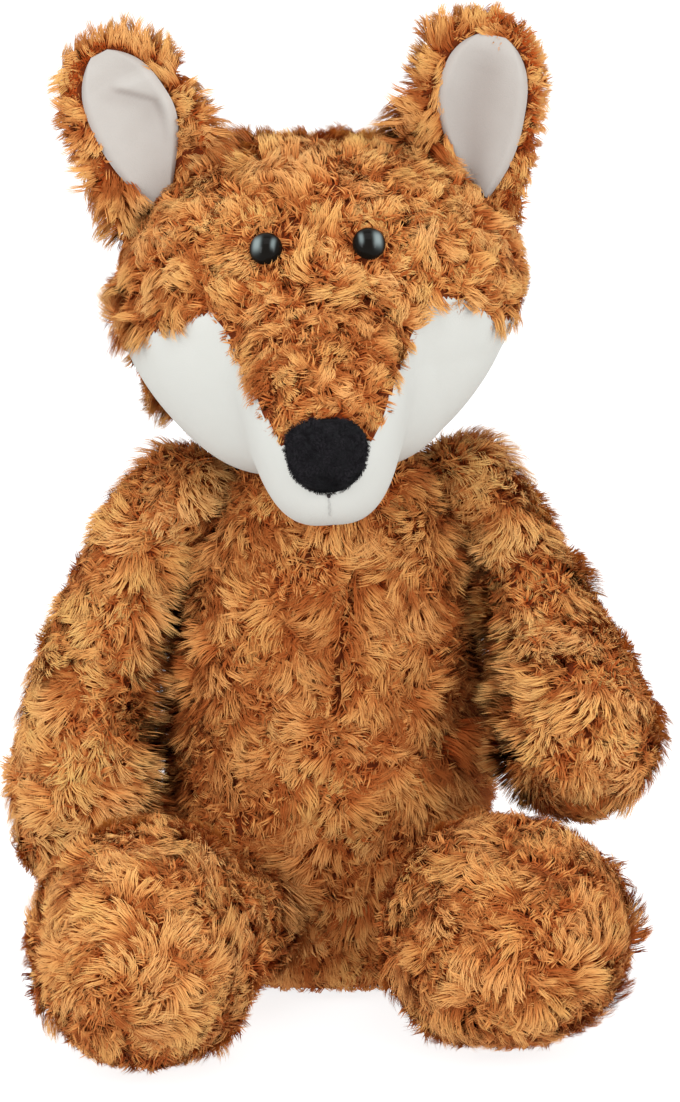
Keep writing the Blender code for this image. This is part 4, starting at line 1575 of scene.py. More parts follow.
@dataclass(frozen=True)
class EarForm:
    """An ear: a cupped leaf that stands off the head, fur behind and round a pale lining.

    Lengths are in millimetres. Places across the ear run from -1 to 1, and up it from 0 to 1.

    Attributes:
        side: Which ear.
        lean: How far it leans out, in radians.
        height: Its height over its base.
        half_width: Its half width at its base.
        cup: How deep it is cupped.
        base: Where its base is, from the head's centre.
        thick: How thick it is.
        lining_top: How far up the lining reaches.
        lining_outer: Where the lining's outer edge is across the ear, at its base and above.
        lining_inner: Where its inner edge is.
        roundness: How blunt its tip is.
        fringe: Hair lengths at its outer side, its top and its inner side, as shares.
        clump: How much longer they are at its inner base.
    """

    side: Side
    lean: float
    height: float = 44.5
    half_width: float = 17.5
    cup: float = 7.0
    base: tuple[float, float, float] = (41.0, -2.0, 35.0)
    thick: float = 4.0
    lining_top: float = 0.93
    lining_outer: tuple[float, float] = (-0.50, -0.80)
    lining_inner: tuple[float, float] = (0.04, 0.72)
    roundness: float = 4.5
    fringe: tuple[float, float, float] = (1.0, 1.0, 1.0)
    clump: float = 0.6

    def place(self, head: HeadForm, across: Array, up: Array, forward: Array) -> Array:
        """Find points of the ear on the upright head.

        Args:
            head: The head's form.
            across: Places across the ear.
            up: Places up the ear.
            forward: How far they lie in front of its front, in millimetres.

        Returns:
            The points, in millimetres.
        """
        half = self.half_width * np.sqrt(np.maximum(1 - np.maximum(up, 0) ** self.roundness, 0))
        x = across * half
        bowl = self.cup * (1 - 0.35 * up) * (x / self.half_width) ** 2
        leaf = np.stack([x, -bowl - forward, self.height * up], axis=-1)
        sign = self.side.value
        base = np.array(head.centre) + np.array((sign * self.base[0], self.base[1], self.base[2]))
        return base + turn_about(leaf, sign * self.lean, "Y")

    def root(self, head: HeadForm, across: Array, gap: float) -> Array:
        """Find how far up the ear starts, to stand off the head.

        Args:
            head: The head's form.
            across: Places across the ear.
            gap: How far it stands off, in millimetres.

        Returns:
            The place up the ear for each.
        """
        low, high = np.full(across.shape, -0.3), np.full(across.shape, 0.6)
        for _ in range(30):
            up = (low + high) / 2
            offset = self.place(head, across, up, 0 * up) - np.array(head.centre)
            clear = np.linalg.norm(offset, axis=-1) > head.radius(unit(offset)) + gap
            low, high = np.where(clear, low, up), np.where(clear, up, high)
        return high

    def leaf(self, head: HeadForm, rows: int = 60, columns: int = 64) -> tuple[Array, Array, Array]:
        """Lay a grid over the ear's closed form.

        Args:
            head: The head's form.
            rows: Rows of the grid.
            columns: Columns of the grid.

        Returns:
            The upright points in millimetres, the turn round its section and the row value of each.
        """
        turn = np.linspace(0, 2 * math.pi, columns, endpoint=False)[None]
        share = np.linspace(0, 1, rows)[:, None]
        across = np.cos(turn) + 0 * share
        start = self.root(head, across, -2.0)
        rise = np.sin(share * math.pi / 2)
        up = start + (1 - start) * rise
        forward = -self.thick / 2 - self.thick / 2 * np.sin(turn) * (1 - rise**8)
        return self.place(head, across, up, forward + 0 * up), turn + 0 * share, share + 0 * turn

    def lining_edges(self, rise: Array) -> tuple[Array, Array]:
        """Find the lining's edges.

        Args:
            rise: Places up the ear.

        Returns:
            The outer and the inner edge across the ear, at each.
        """
        spread = np.sin(np.minimum(1, rise / 0.55) * math.pi / 2)
        outer = self.lining_outer[0] + (self.lining_outer[1] - self.lining_outer[0]) * spread
        inner = self.lining_inner[0] + (self.lining_inner[1] - self.lining_inner[0]) * spread
        middle, close = (outer + inner) / 2, np.sqrt(1 - np.clip((rise - 0.6) / 0.42, 0, 0.98) ** 3.5)
        return middle + (outer - middle) * close, middle + (inner - middle) * close


# The toy


@dataclass
class Toy:
    """What all sub-assemblies share.

    Attributes:
        origin: Where the body's own origin lies in the frame.
        rng: The source of random numbers.
    """

    origin: Array
    rng: np.random.Generator

    def cover(
        self,
        surface: Surface,
        pile: Pile,
        keep: Callable[[Roots], Array] | None = None,
    ) -> Roots:
        """Places for tufts over a surface.

        Args:
            surface: What the pile grows on.
            pile: How it grows.
            keep: Says which places may hold a tuft.

        Returns:
            The places.
        """
        wanted = int(surface.area / pile.tuft**2 * 2.6)
        roots = surface.sample(wanted, self.rng)
        if keep is not None:
            roots = roots[keep(roots)]
        return roots[thinned(roots.points, pile.tuft * 0.82)]

    def dress(
        self,
        hairs: Hairs,
        pieces: list[tuple[str, str, tuple[str, ...], Finish]],
    ) -> None:
        """Make the pile's pieces and seat them.

        Args:
            hairs: All hairs, numbered by piece.
            pieces: For each number: the piece's name, its body, the nodes it stands for, its finish.
        """
        for number, (name, body, nodes, finish) in enumerate(pieces):
            chosen = np.flatnonzero(hairs.piece == number)
            if len(chosen) == 0:
                continue
            seat(hair_object(name, hairs, chosen, finish), body, SLOTS[finish], *nodes)


def undercoat(
    toy: Toy,
    name: str,
    surface: Surface,
    body: str,
    keep: Callable[[Roots], Array] | None = None,
    finish: Finish = Finish.FUR,
) -> None:
    """Make the short hairs close to the skin, which show where locks part; on tan pile they are darkened as
    painted shade deep in the pile.

    Args:
        toy: The toy.
        name: The piece's name.
        surface: What they grow on.
        body: The body that they ride on.
        keep: Says which places may hold a tuft.
        finish: Their finish.
    """
    roots = toy.cover(surface, UNDERCOAT, keep)
    count = len(roots)
    comb = toy.rng.normal(0, 1, (count, 3))
    hairs = grow(roots, Plan(comb, np.ones(count)), np.zeros(count, int), UNDERCOAT, toy.rng)
    # Painted shade: the undercoat of tan pile is darkened.
    hairs.shade = hairs.shade * (UNDERCOAT_SHADE if finish is Finish.FUR else 1.0)
    seat(hair_object(name, hairs, np.arange(len(hairs.shade)), finish), body, SLOTS[finish])


def seat(obj: bpy.types.Object, body: str, slot: str, *nodes: str) -> bpy.types.Object:
    """Fix a piece to its body and report it.

    Args:
        obj: The piece.
        body: The body that it rides on.
        slot: The record's slot; not used.
        *nodes: The nodes that it stands for.

    Returns:
        The piece.
    """
    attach(obj, body)
    if nodes:
        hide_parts(*nodes)
    LOG.info("%s: %d faces on %s", obj.name, len(obj.data.polygons), body)
    return obj


TUFTS = (
    Tuft(-26.6, -135.5, 8.0, 0.9),
    Tuft(23.8, -135.5, 8.0, 1.3),
    Tuft(79.0, -84.0, 8.0, 0.5),
    Tuft(-50.4, 31.0, 8.0, 0.3),
    Tuft(46.0, 34.0, 7.0, 0.35),
    Tuft(-66.6, 65.0, 7.0, 0.35),
    Tuft(-29.0, 118.0, 8.0, 0.6),
    Tuft(-35.0, 122.0, 7.0, 0.4),
    Tuft(-55.0, 95.0, 5.5, -0.6),
    Tuft(-65.0, 87.0, 6.5, -0.6),
    Tuft(42.6, 101.5, 5.0, -0.45),
)

CHANCE = Chance()
SHADES = Shades()
STRIP = Strip()
MOST_LEAN = 1.85
# Painted shade: how much the undercoat of tan pile is darkened.
UNDERCOAT_SHADE = 0.5
SKIN_DEPTH = 1.8 * MM

SLOTS = {
    Finish.FUR: "fur",
    Finish.TAIL_TIP: "tail_tip_fur",
    Finish.FELT: "nose_felt",
    Finish.SKIN: "fur",
    Finish.CHEEK: "white_plush",
    Finish.LINING: "ear_lining",
    Finish.EYE: "eye_plastic",
    Finish.THREAD: "nose_felt",
    Finish.SEAM: "white_plush",
}

BODY_PILE = Pile(
    length=8.6 * MM, width=0.25 * MM, tuft=1.75 * MM, hairs=12, lock=9.5 * MM, root_depth=2.6 * MM,
    lump=0.85 * MM, swirl=0.75, curl=0.8, lean=(0.25, 1.65), crest=0.5, fan=0.8, gather=0.10, stray=0.09,
)
FACE_PILE = Pile(
    length=7.0 * MM, width=0.24 * MM, tuft=1.45 * MM, hairs=11, lock=6.4 * MM, root_depth=2.4 * MM,
    lump=0.7 * MM, swirl=0.9, curl=1.5, lean=(0.2, 1.7), crest=0.5, fan=-0.2, gather=0.12, stray=0.1,
)
EAR_PILE = Pile(
    length=8.0 * MM, width=0.19 * MM, tuft=1.3 * MM, hairs=14, lock=7.0 * MM, root_depth=0.8 * MM,
    lump=0.5 * MM, swirl=0.45, curl=0.8, lean=(0.45, 1.6), crest=0.4, fan=-0.2, gather=0.10, stray=0.08,
)
UNDERCOAT = Pile(
    length=5.0 * MM, width=0.42 * MM, tuft=1.5 * MM, hairs=5, lock=3.0 * MM, root_depth=1.8 * MM,
    lump=0.1 * MM, swirl=1.6, curl=1.5, lean=(0.5, 1.3), crest=0.0, gather=0.0, steps=2,
)
NOSE_PILE = Pile(
    length=1.5 * MM, width=0.10 * MM, tuft=0.62 * MM, hairs=9, lock=2.6 * MM, root_depth=0.2 * MM,
    lump=0.04 * MM, swirl=1.6, curl=1.2, lean=(0.5, 1.2), crest=0.0, gather=0.2, crimp=0.0, edge=0.0, steps=3,
)


def skin_object(surface: Surface, body: str, *nodes: str) -> bpy.types.Object:
    """Make the closed skin that a pile grows from.

    Args:
        surface: The form's surface.
        body: The body it rides on, which also names it.
        *nodes: The nodes it stands for.

    Returns:
        The skin.
    """
    points = surface.sunk(SKIN_DEPTH)
    points[:, 2] = np.maximum(points[:, 2], 0.0)
    name = f"{body}_skin"
    obj = link(name, new_mesh(name, points, surface.faces), Finish.SKIN)
    return seat(obj, body, SLOTS[Finish.SKIN], *nodes)


@dataclass
class Torso:
    """The body with its chest, back and seat.

    Attributes:
        toy: The toy.
        form: The body's form.
        base: The height that the pile starts at.
        waist: The height at which the pile's pieces are split.
        hip: The height, the reach and the gain of the longer pile at the right hip.
        flank_press: How much more upright the pile stands under the arms.
        tone: Painted light and shade: how much lighter the pile is; below 0 it is painted darker, as lying in
            the head's shade.
        flank_tone: How much painted shade darkens it under the arms.
        seam: Heights, and the place and half the width of the chest's parting there, in millimetres.
        seam_reach: How far beside the parting the pile is combed off it, in millimetres.
        seam_tone: How much painted shade darkens the pile in the parting's crease.
    """

    toy: Toy
    form: TorsoForm = TorsoForm()
    base: float = 1 * MM
    waist: float = 72 * MM
    hip: tuple[float, float, float] = (74 * MM, 14 * MM, 0.75)
    flank_press: float = 0.62
    tone: float = -0.25
    flank_tone: float = 0.20
    seam: tuple[tuple[float, float, float], ...] = (
        (82.0, 2.6, 0.0),
        (88.0, 3.9, 0.6),
        (95.0, 2.9, 0.9),
        (101.0, 3.4, 1.2),
        (105.0, 5.2, 1.3),
        (109.0, 5.0, 1.2),
        (114.0, 7.0, 1.2),
        (119.0, 6.6, 0.6),
        (124.0, 8.2, 0.0),
    )
    seam_reach: float = 7.0
    seam_tone: float = 0.4

    def build(self) -> None:
        """Make the skin and the pile of the body."""
        surface = self.form.surface(self.toy.origin)
        skin_object(surface, "torso", "body_filling")
        undercoat(self.toy, "torso_undercoat", surface, "torso", self.covered)
        roots = self.toy.cover(surface, BODY_PILE, lambda found: found.points[:, 2] > self.base)
        left = (roots.u > math.pi / 2) & (roots.u < 3 * math.pi / 2)
        piece = np.where(self.in_front(roots), 0, 2) + np.where(left, 0, 1)
        piece = piece + np.where(roots.points[:, 2] < self.waist, 4, 0)
        hairs = grow(roots, self.planned(roots), piece, BODY_PILE, self.toy.rng)
        self.part(hairs.lines)
        nodes = {
            "chest_fur_left": ("chest_panel_left",),
            "chest_fur_right": ("chest_panel_right",),
            "back_fur_left": ("back_panel_left",),
            "back_fur_right": ("back_panel_right",),
            "belly_fur_left": (),
            "belly_fur_right": (),
            "rump_fur_left": (),
            "rump_fur_right": ("seat_panel",),
        }
        self.toy.dress(hairs, [(name, "torso", stands, Finish.FUR) for name, stands in nodes.items()])

    def in_front(self, roots: Roots) -> Array:
        """Which places are on the body's front."""
        return roots.u >= math.pi

    def planned(self, roots: Roots) -> Plan:
        """Comb the pile down and outward, off the chest's parting, and stand it up under the arms; paint
        shade over the body, under the arms and in the parting.

        Args:
            roots: Where the tufts stand.

        Returns:
            How they grow.
        """
        height, facing = roots.points[:, 2], roots.normals[:, 0]
        outward = roots.points - (self.toy.origin + UP * 0.08)
        comb = np.stack([outward[:, 0] * 6, outward[:, 1] * 2, np.full(len(roots), -1.0)], axis=1)
        scale = np.interp(height, (0, 8 * MM, 20 * MM), (0.5, 0.8, 1.0))
        flank = np.clip(np.abs(facing) * 2.4 - 1.3, 0, 1)
        flank = flank * np.interp(height, (30 * MM, 60 * MM, 130 * MM), (0.3, 1.0, 1.0))
        middle, reach, gain = self.hip
        hip = np.exp(-(((height - middle) / reach) ** 2)) * (facing > 0.3)
        scale = scale * (1 + gain * hip * flank)
        middle, gap = self.parting(height)
        beside = (roots.points[:, 0] - middle) / MM
        parted = np.clip(gap / (0.8 * MM), 0, 1) * self.in_front(roots)
        comb[:, 0] += 0.8 * np.sign(beside) * parted * np.exp(-((beside / self.seam_reach) ** 2))
        # Painted shade in the parting's crease, under the arms and over the whole body.
        dark = self.seam_tone * parted * np.exp(-((beside / 2.4) ** 2))
        tone = self.tone - self.flank_tone * flank - dark
        return Plan(comb, scale, 1 - self.flank_press * flank, tone)

    def covered(self, roots: Roots) -> Array:
        """Find where the body has an undercoat: not on its base and not in the parting.

        Args:
            roots: Places on the body.

        Returns:
            True for each that has.
        """
        middle, gap = self.parting(roots.points[:, 2])
        parted = (np.abs(roots.points[:, 0] - middle) < 0.6 * gap) & (gap > 0)
        return (roots.points[:, 2] > self.base) & ~(parted & self.in_front(roots))

    def parting(self, height: Array) -> tuple[Array, Array]:
        """Find where the pile of the chest parts along its seam.

        Args:
            height: Heights.

        Returns:
            The place across, and half the parting's width, at each.
        """
        z, middle, gap = (np.array(row) * MM for row in zip(*self.seam))
        return np.interp(height, z, middle) + self.toy.origin[0], np.interp(height, z, gap)

    def part(self, lines: Array) -> None:
        """Hold the hairs of the chest on their own side of the seam.

        Args:
            lines: The hairs' lines, which are changed.
        """
        middle, gap = self.parting(lines[..., 2])
        x = lines[..., 0]
        right = (x[:, :1] > middle[:, :1]) & (gap >= 0)
        held = (gap > 0) & (lines[..., 1] < self.toy.origin[1])
        beside = np.where(right, np.maximum(x, middle + gap), np.minimum(x, middle - gap))
        lines[..., 0] = np.where(held, beside, x)


@dataclass(frozen=True)
class LimbEnd:
    """The panel at a limb's end.

    Attributes:
        word: Its name.
        start: Where it starts, counted in points of the limb's path.
        finish: Its finish.
        swirl: How far its pile runs out from its middle, rather than along the limb.
    """

    word: str
    start: float
    finish: Finish = Finish.FUR
    swirl: float = 1.0


@dataclass
class Limb:
    """A limb with the pile of its panels.

    Attributes:
        toy: The toy.
        name: The limb's body and the start of its node names.
        form: Its form.
        panels: The panels of its first and second half turn.
        end: The panel at its end, or nothing.
        drop: How much the comb also points down.
        inner_rise: How much more upright the pile stands on the side next to the body, and how much painted
            shade darkens it there.
        tone: Painted light and shade: how much lighter the pile is, or darker below 0.
        shoulder: The height above which it stands up and is painted lighter, as lit from above.
    """

    toy: Toy
    name: str
    form: LimbForm
    panels: tuple[str, str]
    end: LimbEnd | None = None
    drop: float = 0.3
    inner_rise: float = 0.0
    tone: float = 0.0
    shoulder: float = 128 * MM

    def build(self) -> None:
        """Make the limb's skin and pile."""
        surface = self.form.surface(self.toy.origin)
        pale = self.end is not None and self.end.finish is not Finish.FUR
        skin_object(surface, self.name, f"{self.name}_filling")
        undercoat(self.toy, f"{self.name}_undercoat", surface, self.name, self.coloured if pale else None)
        if pale:
            self.build_pale_end(surface)
        roots = self.toy.cover(surface, BODY_PILE)
        piece = np.where(roots.u < math.pi, 0, 1)
        panels = [(word, Finish.FUR) for word in self.panels]
        if self.end:
            piece[self.form.past(roots.points, self.end.start, self.toy.origin)] = 2
            panels.append((self.end.word, self.end.finish))
        hairs = grow(roots, self.planned(roots), piece, BODY_PILE, self.toy.rng)
        pieces = [
            (f"{self.name}_{word}_fur", self.name, (f"{self.name}_{word}",), finish)
            for word, finish in panels
        ]
        self.toy.dress(hairs, pieces)

    def planned(self, roots: Roots) -> Plan:
        """Comb the pile along the limb and round its end, with painted shade on the side next to the body and
        painted light on the shoulder's top.

        Args:
            roots: Where the tufts stand.

        Returns:
            How they grow.
        """
        height = roots.points[:, 2]
        comb = self.form.heading(roots.v) - UP * self.drop
        if self.end:
            last = self.form.past(roots.points, len(self.form.path) - 1.6, self.toy.origin)
            out = self.end.swirl
            comb[last] = comb[last] * (1.2 - out) + self.swirled(roots.points[last]) * out
        scale = np.interp(height, (0, 6 * MM, 16 * MM), (0.65, 0.85, 1.0))
        inner = np.clip(-roots.normals[:, 0] * np.sign(roots.points[:, 0]) * 2.4 - 1.0, 0, 1)
        top = np.clip(roots.normals[:, 2] * 2 - 0.6, 0, 1) * (height > self.shoulder)
        press = (1 - self.inner_rise * inner) * (1 - 0.2 * top)
        scale = scale * (1 + 0.3 * self.inner_rise * inner) * (1 + 0.12 * top)
        # Painted shade on the side next to the body, painted light on the shoulder's top.
        tone = self.tone - 0.15 * self.inner_rise * inner + 0.3 * top
        return Plan(comb, scale, press, tone)

    def build_pale_end(self, surface: Surface) -> None:
        """Make the pale backing and undercoat of a pale end.

        Args:
            surface: The limb's surface.
        """
        end = self.end
        points = surface.sunk(1.6 * MM)
        points[:, 2] = np.maximum(points[:, 2], 0.2 * MM)
        past = self.form.past(points[surface.faces], end.start, self.toy.origin).all(axis=1)
        name = f"{self.name}_{end.word}"
        skin = link(f"{name}_skin", new_mesh(f"{name}_skin", points, surface.faces[past]), Finish.TIP_SKIN)
        seat(skin, self.name, SLOTS[end.finish])
        undercoat(
            self.toy,
            f"{name}_undercoat",
            surface,
            self.name,
            lambda roots: ~self.coloured(roots),
            end.finish,
        )

    def coloured(self, roots: Roots) -> Array:
        """Which places lie before the pale end."""
        return ~self.form.past(roots.points, self.end.start, self.toy.origin)

    def swirled(self, points: Array) -> Array:
        """Comb out from the middle of the limb's end and round it.

        Args:
            points: Places near the end.

        Returns:
            The direction at each.
        """
        table = np.array(self.form.path) * MM
        ahead = unit(table[-1, :3] - table[-3, :3])
        away = points - (table[-1, :3] + self.toy.origin)
        away = unit(away - ahead * (away @ ahead)[:, None])
        return away + 0.8 * np.cross(ahead, away)


@dataclass(frozen=True)
class HeadZones:
    """Zones of the head where the pile grows in a way of its own.

    All are in millimetres on the upright head, across and up from its centre. A pair is where a
    zone starts and over how far it takes hold.

    Attributes:
        behind: How far back the back of the head starts.
        eye: How far round an eye the pile is short and combed away.
        nose: The same round the nose.
        nose_depth: How far to the front this is.
        bridge: How far beside the bridge's middle the pile is dark.
        bridge_top: Below which height.
        crown: Above which height the pile stands up and is painted lighter.
        flap: How low and how high the loose strip behind the left cheek hangs.
        flap_in: How far inside the cheek's edge and how far back it starts.
        flap_out: How far across it is at least.
        corner_out: How far across the left corner of the brow is at least.
        corner_reach: How far up and down from its height it reaches.
        hem: How near to a cheek's upper edge the pile hangs over it.
        hem_out: How far across it does.
    """

    behind: float = 4.0
    eye: tuple[float, float] = (10.0, 6.0)
    nose: tuple[float, float] = (17.0, 5.0)
    nose_depth: float = -30.0
    bridge: tuple[float, float] = (22.0, 5.0)
    bridge_top: tuple[float, float] = (12.0, 8.0)
    crown: tuple[float, float] = (36.0, 6.0)
    flap: tuple[float, float] = (-30.0, -4.0)
    flap_in: tuple[float, float] = (-30.0, 18.0)
    flap_out: float = 30.0
    corner_out: float = 40.0
    corner_reach: tuple[float, float] = (1.0, 8.0)
    hem: float = -5.0
    hem_out: float = 38.0

    @staticmethod
    def within(distance: Array, limit: tuple[float, float]) -> Array:
        """How far a distance is inside a limit, from 0 to 1."""
        return np.clip((limit[0] - distance) / limit[1], 0, 1)


@dataclass
class Head:
    """The head: skin, pile, cheeks, nose, eyes and stitches. Lengths are in millimetres.

    Attributes:
        toy: The toy.
        form: The head's form.
        zones: Where its pile grows in a way of its own.
        eye_at: Where an eye is, across and up from the centre.
        eye_radius: Its radius.
        eye_dome: Its height, as a share of that.
        nose_at: How high the nose is.
        nose_half: Its half sizes.
        nose_clear: The half sizes of the place that holds no fur.
        nose_thick: How far it stands out.
    """

    toy: Toy
    form: HeadForm = HeadForm()
    zones: HeadZones = HeadZones()
    eye_at: tuple[float, float] = (14.0, 21.0)
    eye_radius: float = 4.6
    eye_dome: float = 0.82
    nose_at: float = -29.5
    nose_half: tuple[float, float] = (10.2, 9.9)
    nose_clear: tuple[float, float] = (10.4, 10.6)
    nose_thick: float = 3.6

    def rest(self, upright: Array) -> Array:
        """Upright points at their rest in the frame."""
        return self.form.seated(self.form.leaned(upright, self.toy.origin), self.toy.origin)

    def lean_only(self, upright: Array) -> Array:
        """Upright points at their rest, without the neck's lift."""
        return self.form.leaned(upright, self.toy.origin)

    def upright(self, points: Array) -> Array:
        """Bring points in the frame back to the upright head.

        Args:
            points: The points, in metres.

        Returns:
            The upright points, in millimetres.
        """
        form = self.form
        pivot = np.array(form.pivot)
        local = (points - self.toy.origin) / MM - pivot
        return turn_about(turn_about(local, -form.yaw, "Z"), -form.roll, "Y") + pivot

    def offsets(self, upright: Array) -> tuple[Array, Array, Array]:
        """Measure upright points across from the centre, back from the middle, and up.

        Args:
            upright: The points, in millimetres.

        Returns:
            The three distances of each.
        """
        centre = self.form.centre
        return upright[:, 0] - centre[0], upright[:, 1], upright[:, 2] - centre[2]

    def build(self) -> None:
        """Make everything on the head."""
        form = self.form
        upright, u, v = form.grid(150, 200)
        surface = Surface(self.rest(upright), True, u, v)
        surface.outward_from(self.lean_only(np.array(form.centre)))
        self.build_skin(surface, form.cheek_depth(upright).reshape(-1))
        self.build_fur(surface)
        self.build_nose()
        for side in Side:
            self.build_eye(side)
        self.build_stitches()

    def build_skin(self, surface: Surface, depth: Array) -> None:
        """Make the tan backing under the pile and the white cheeks, which meet along the seams.

        Args:
            surface: The head's surface.
            depth: How far each point lies inside the cheeks, in millimetres.
        """
        sink = np.interp(depth, (-2.0, 0.2), (SKIN_DEPTH, 0.0))
        points = surface.points.reshape(-1, 3) - surface.normals * sink[:, None]
        white = depth[surface.faces].mean(axis=1) > 0
        column = self.upright(points)[:, 0] - self.form.centre[0]
        left = column[surface.faces].mean(axis=1) < 0
        groups = [
            ("head_skin", ~white, Finish.SKIN, "head_filling"),
            ("cheek_cover_left", white & left, Finish.CHEEK, "cheek_left"),
            ("cheek_cover_right", white & ~left, Finish.CHEEK, "cheek_right"),
        ]
        for name, chosen, finish, node in groups:
            used, faces = np.unique(surface.faces[chosen], return_inverse=True)
            mesh = new_mesh(name, points[used], faces.reshape(-1, 4))
            seat(link(name, mesh, finish), "head", SLOTS[finish], node)

    def furred(self, roots: Roots) -> Array:
        """Find places that aren't on a cheek, under the nose or an eye, or on the neck.

        Args:
            roots: Places on the head.

        Returns:
            True for each that holds fur.
        """
        upright = self.upright(roots.points)
        x, y, z = self.offsets(upright)
        wide, tall = self.nose_clear
        hidden = np.abs(x / wide) ** 3 + np.abs((z - self.nose_at) / tall) ** 3 < 1
        for side in Side:
            away = np.hypot(x - side.value * self.eye_at[0], z - self.eye_at[1])
            hidden |= away < self.eye_radius * 0.84
        keep = (self.form.cheek_depth(upright) < 0) & ~(hidden & (y < 0))
        return keep & (upright[:, 2] > self.form.pivot[2] + 2)

    def build_fur(self, surface: Surface) -> None:
        """Make the pile of the face and of the back of the head.

        Args:
            surface: The head's surface.
        """
        undercoat(self.toy, "head_undercoat", surface, "head", self.furred)
        roots = self.toy.cover(surface, FACE_PILE, self.furred)
        upright = self.upright(roots.points)
        x, y, z = self.offsets(upright)
        plan = self.combed(x, y, z)
        self.clear_eyes_and_nose(plan, x, y, z)
        self.lay_edges(plan, upright)
        piece = np.where(y > self.form.back_seam, 2, 0) + np.where(x < 0, 0, 1)
        hairs = grow(roots, plan, piece, FACE_PILE, self.toy.rng)
        nodes = {
            "face_fur_left": ("face_panel",),
            "face_fur_right": (),
            "head_back_fur_left": ("head_back_left",),
            "head_back_fur_right": ("head_back_right",),
        }
        self.toy.dress(hairs, [(name, "head", stands, Finish.FUR) for name, stands in nodes.items()])

    def combed(self, x: Array, y: Array, z: Array) -> Plan:
        """Comb the face down and out below the brow and up above it, and the back down; paint light on the
        crown, most at the back, and make the bridge darker.

        Args:
            x: Places across.
            y: Places to the back.
            z: Places up.

        Returns:
            How the tufts grow.
        """
        zones = self.zones
        down = np.interp(z, (-30, 8, 30), (-1.0, -0.2, 0.9))
        comb = np.stack([x / 26, np.full(len(x), -0.25), down], axis=1)
        behind = y > zones.behind
        fall = np.interp(z, (24, 40), (-1.0, 0.9))
        comb[behind] = np.stack([x / 60, 0 * x, fall], axis=1)[behind]
        crown = zones.within(-z, (-zones.crown[0], zones.crown[1]))
        bridge = zones.within(np.abs(x), zones.bridge) * zones.within(z, zones.bridge_top)
        # Painted light on the crown, most at the back; the bridge is darker.
        tone = 0.03 + 0.08 * crown + 0.35 * crown * behind - 0.22 * bridge
        return Plan(comb, 1 + 0.12 * crown, 1 - 0.35 * crown, tone)

    def clear_eyes_and_nose(self, plan: Plan, x: Array, y: Array, z: Array) -> None:
        """Comb the pile away from the eyes and the nose, and shorten it there.

        Args:
            plan: How the tufts grow, which is changed.
            x: Places across.
            y: Places to the back.
            z: Places up.
        """
        flat = np.zeros(len(x))
        places = [
            (side.value * self.eye_at[0], self.eye_at[1], self.zones.eye, 0.0, 1.0, 0.5) for side in Side
        ]
        places.append((0.0, self.nose_at, self.zones.nose, self.zones.nose_depth, 0.85, 0.45))
        for across, up, limit, depth, hold, shorter in places:
            away = np.stack([x - across, flat, z - up], axis=1)
            near = self.zones.within(np.hypot(away[:, 0], away[:, 2]), limit) * (y < depth)
            plan.comb = plan.comb * (1 - hold * near[:, None]) + unit(away) * near[:, None]
            plan.scale = plan.scale * (1 - shorter * near)

    def lay_edges(self, plan: Plan, upright: Array) -> None:
        """Lay the pile beside and over the edges of the white cheeks, with painted light on the loose strip
        behind the left cheek.

        Args:
            plan: How the tufts grow, which is changed.
            upright: Where the tufts stand on the upright head, in millimetres.
        """
        form, zones = self.form, self.zones
        x, y, z = self.offsets(upright)
        depth = form.cheek_depth(upright)
        left, behind = x < 0, y > zones.behind
        beside = behind & (z < 0) & (y < 16) & ~left
        plan.scale[beside] *= np.interp(y[beside], (4, 14), (0.35, 0.9))
        plan.scale[left & (z < -29) & (y < 22)] *= 0.4
        flap = (z > zones.flap[0]) & (z < zones.flap[1]) & (x < -zones.flap_out)
        flap &= (depth > zones.flap_in[0]) & (y < zones.flap_in[1])
        flap &= form.beyond(upright, form.cheek_top_left) < -1
        plan.scale[flap] *= np.interp(z[flap], (-30, -26, -18), (1.2, 1.4, 1.1))
        plan.press[flap] = 0.55
        plan.comb[flap] = (-0.8, -0.2, -1.0)
        # Painted light on the loose strip behind the left cheek.
        plan.tone = plan.tone + 0.45 * flap
        height, reach = zones.corner_reach
        corner = (x < -zones.corner_out) & (np.abs(z - height) < reach) & (y > -30)
        plan.press[corner] = 0.75
        plan.scale[corner] *= 1.3
        hem = (depth > zones.hem) & (np.abs(x) > zones.hem_out) & ~behind & ~flap
        down = np.full(hem.sum(), -1.0)
        plan.comb[hem] = np.stack([0.25 * np.sign(x[hem]), 0 * x[hem], down], axis=1)
        plan.scale[hem] *= np.where(left[hem], 1.1, 1.5)

    def build_nose(self) -> None:
        """Make the stuffed nose pad and its short black pile."""
        rows, columns = 40, 72
        turn = np.linspace(0, 2 * math.pi, columns, endpoint=False)[None]
        share = np.linspace(0, 1, rows)[:, None]
        angle = share * math.pi
        flat, height = np.sin(angle), np.cos(angle)
        c, s = (np.sign(w) * np.abs(w) ** 0.84 for w in (np.cos(turn), np.sin(turn)))
        x = self.nose_half[0] * c * (1 + 0.16 * s) * flat
        z = self.nose_half[1] * s * flat + self.nose_at
        lift = 0.35 + np.where(height > 0, self.nose_thick * np.abs(height) ** 0.8, 0) + 0 * turn
        upright = self.form.front(x, z) + self.form.facing(x, z) * lift[..., None]
        points = self.lean_only(upright)
        middle = points.reshape(-1, 3).mean(axis=0)
        surface = Surface(points, True, turn + 0 * share, share + 0 * turn).outward_from(middle)
        mesh = new_mesh("nose_cover", surface.points.reshape(-1, 3), surface.faces)
        seat(link("nose_cover", mesh, Finish.FELT_SKIN), "head", SLOTS[Finish.FELT], "nose_pad")
        roots = self.toy.cover(surface, NOSE_PILE, lambda found: found.v < 0.55)
        plan = Plan(roots.points - middle, np.ones(len(roots)))
        hairs = grow(roots, plan, np.zeros(len(roots), int), NOSE_PILE, self.toy.rng)
        self.toy.dress(hairs, [("nose_fur", "head", (), Finish.FELT)])

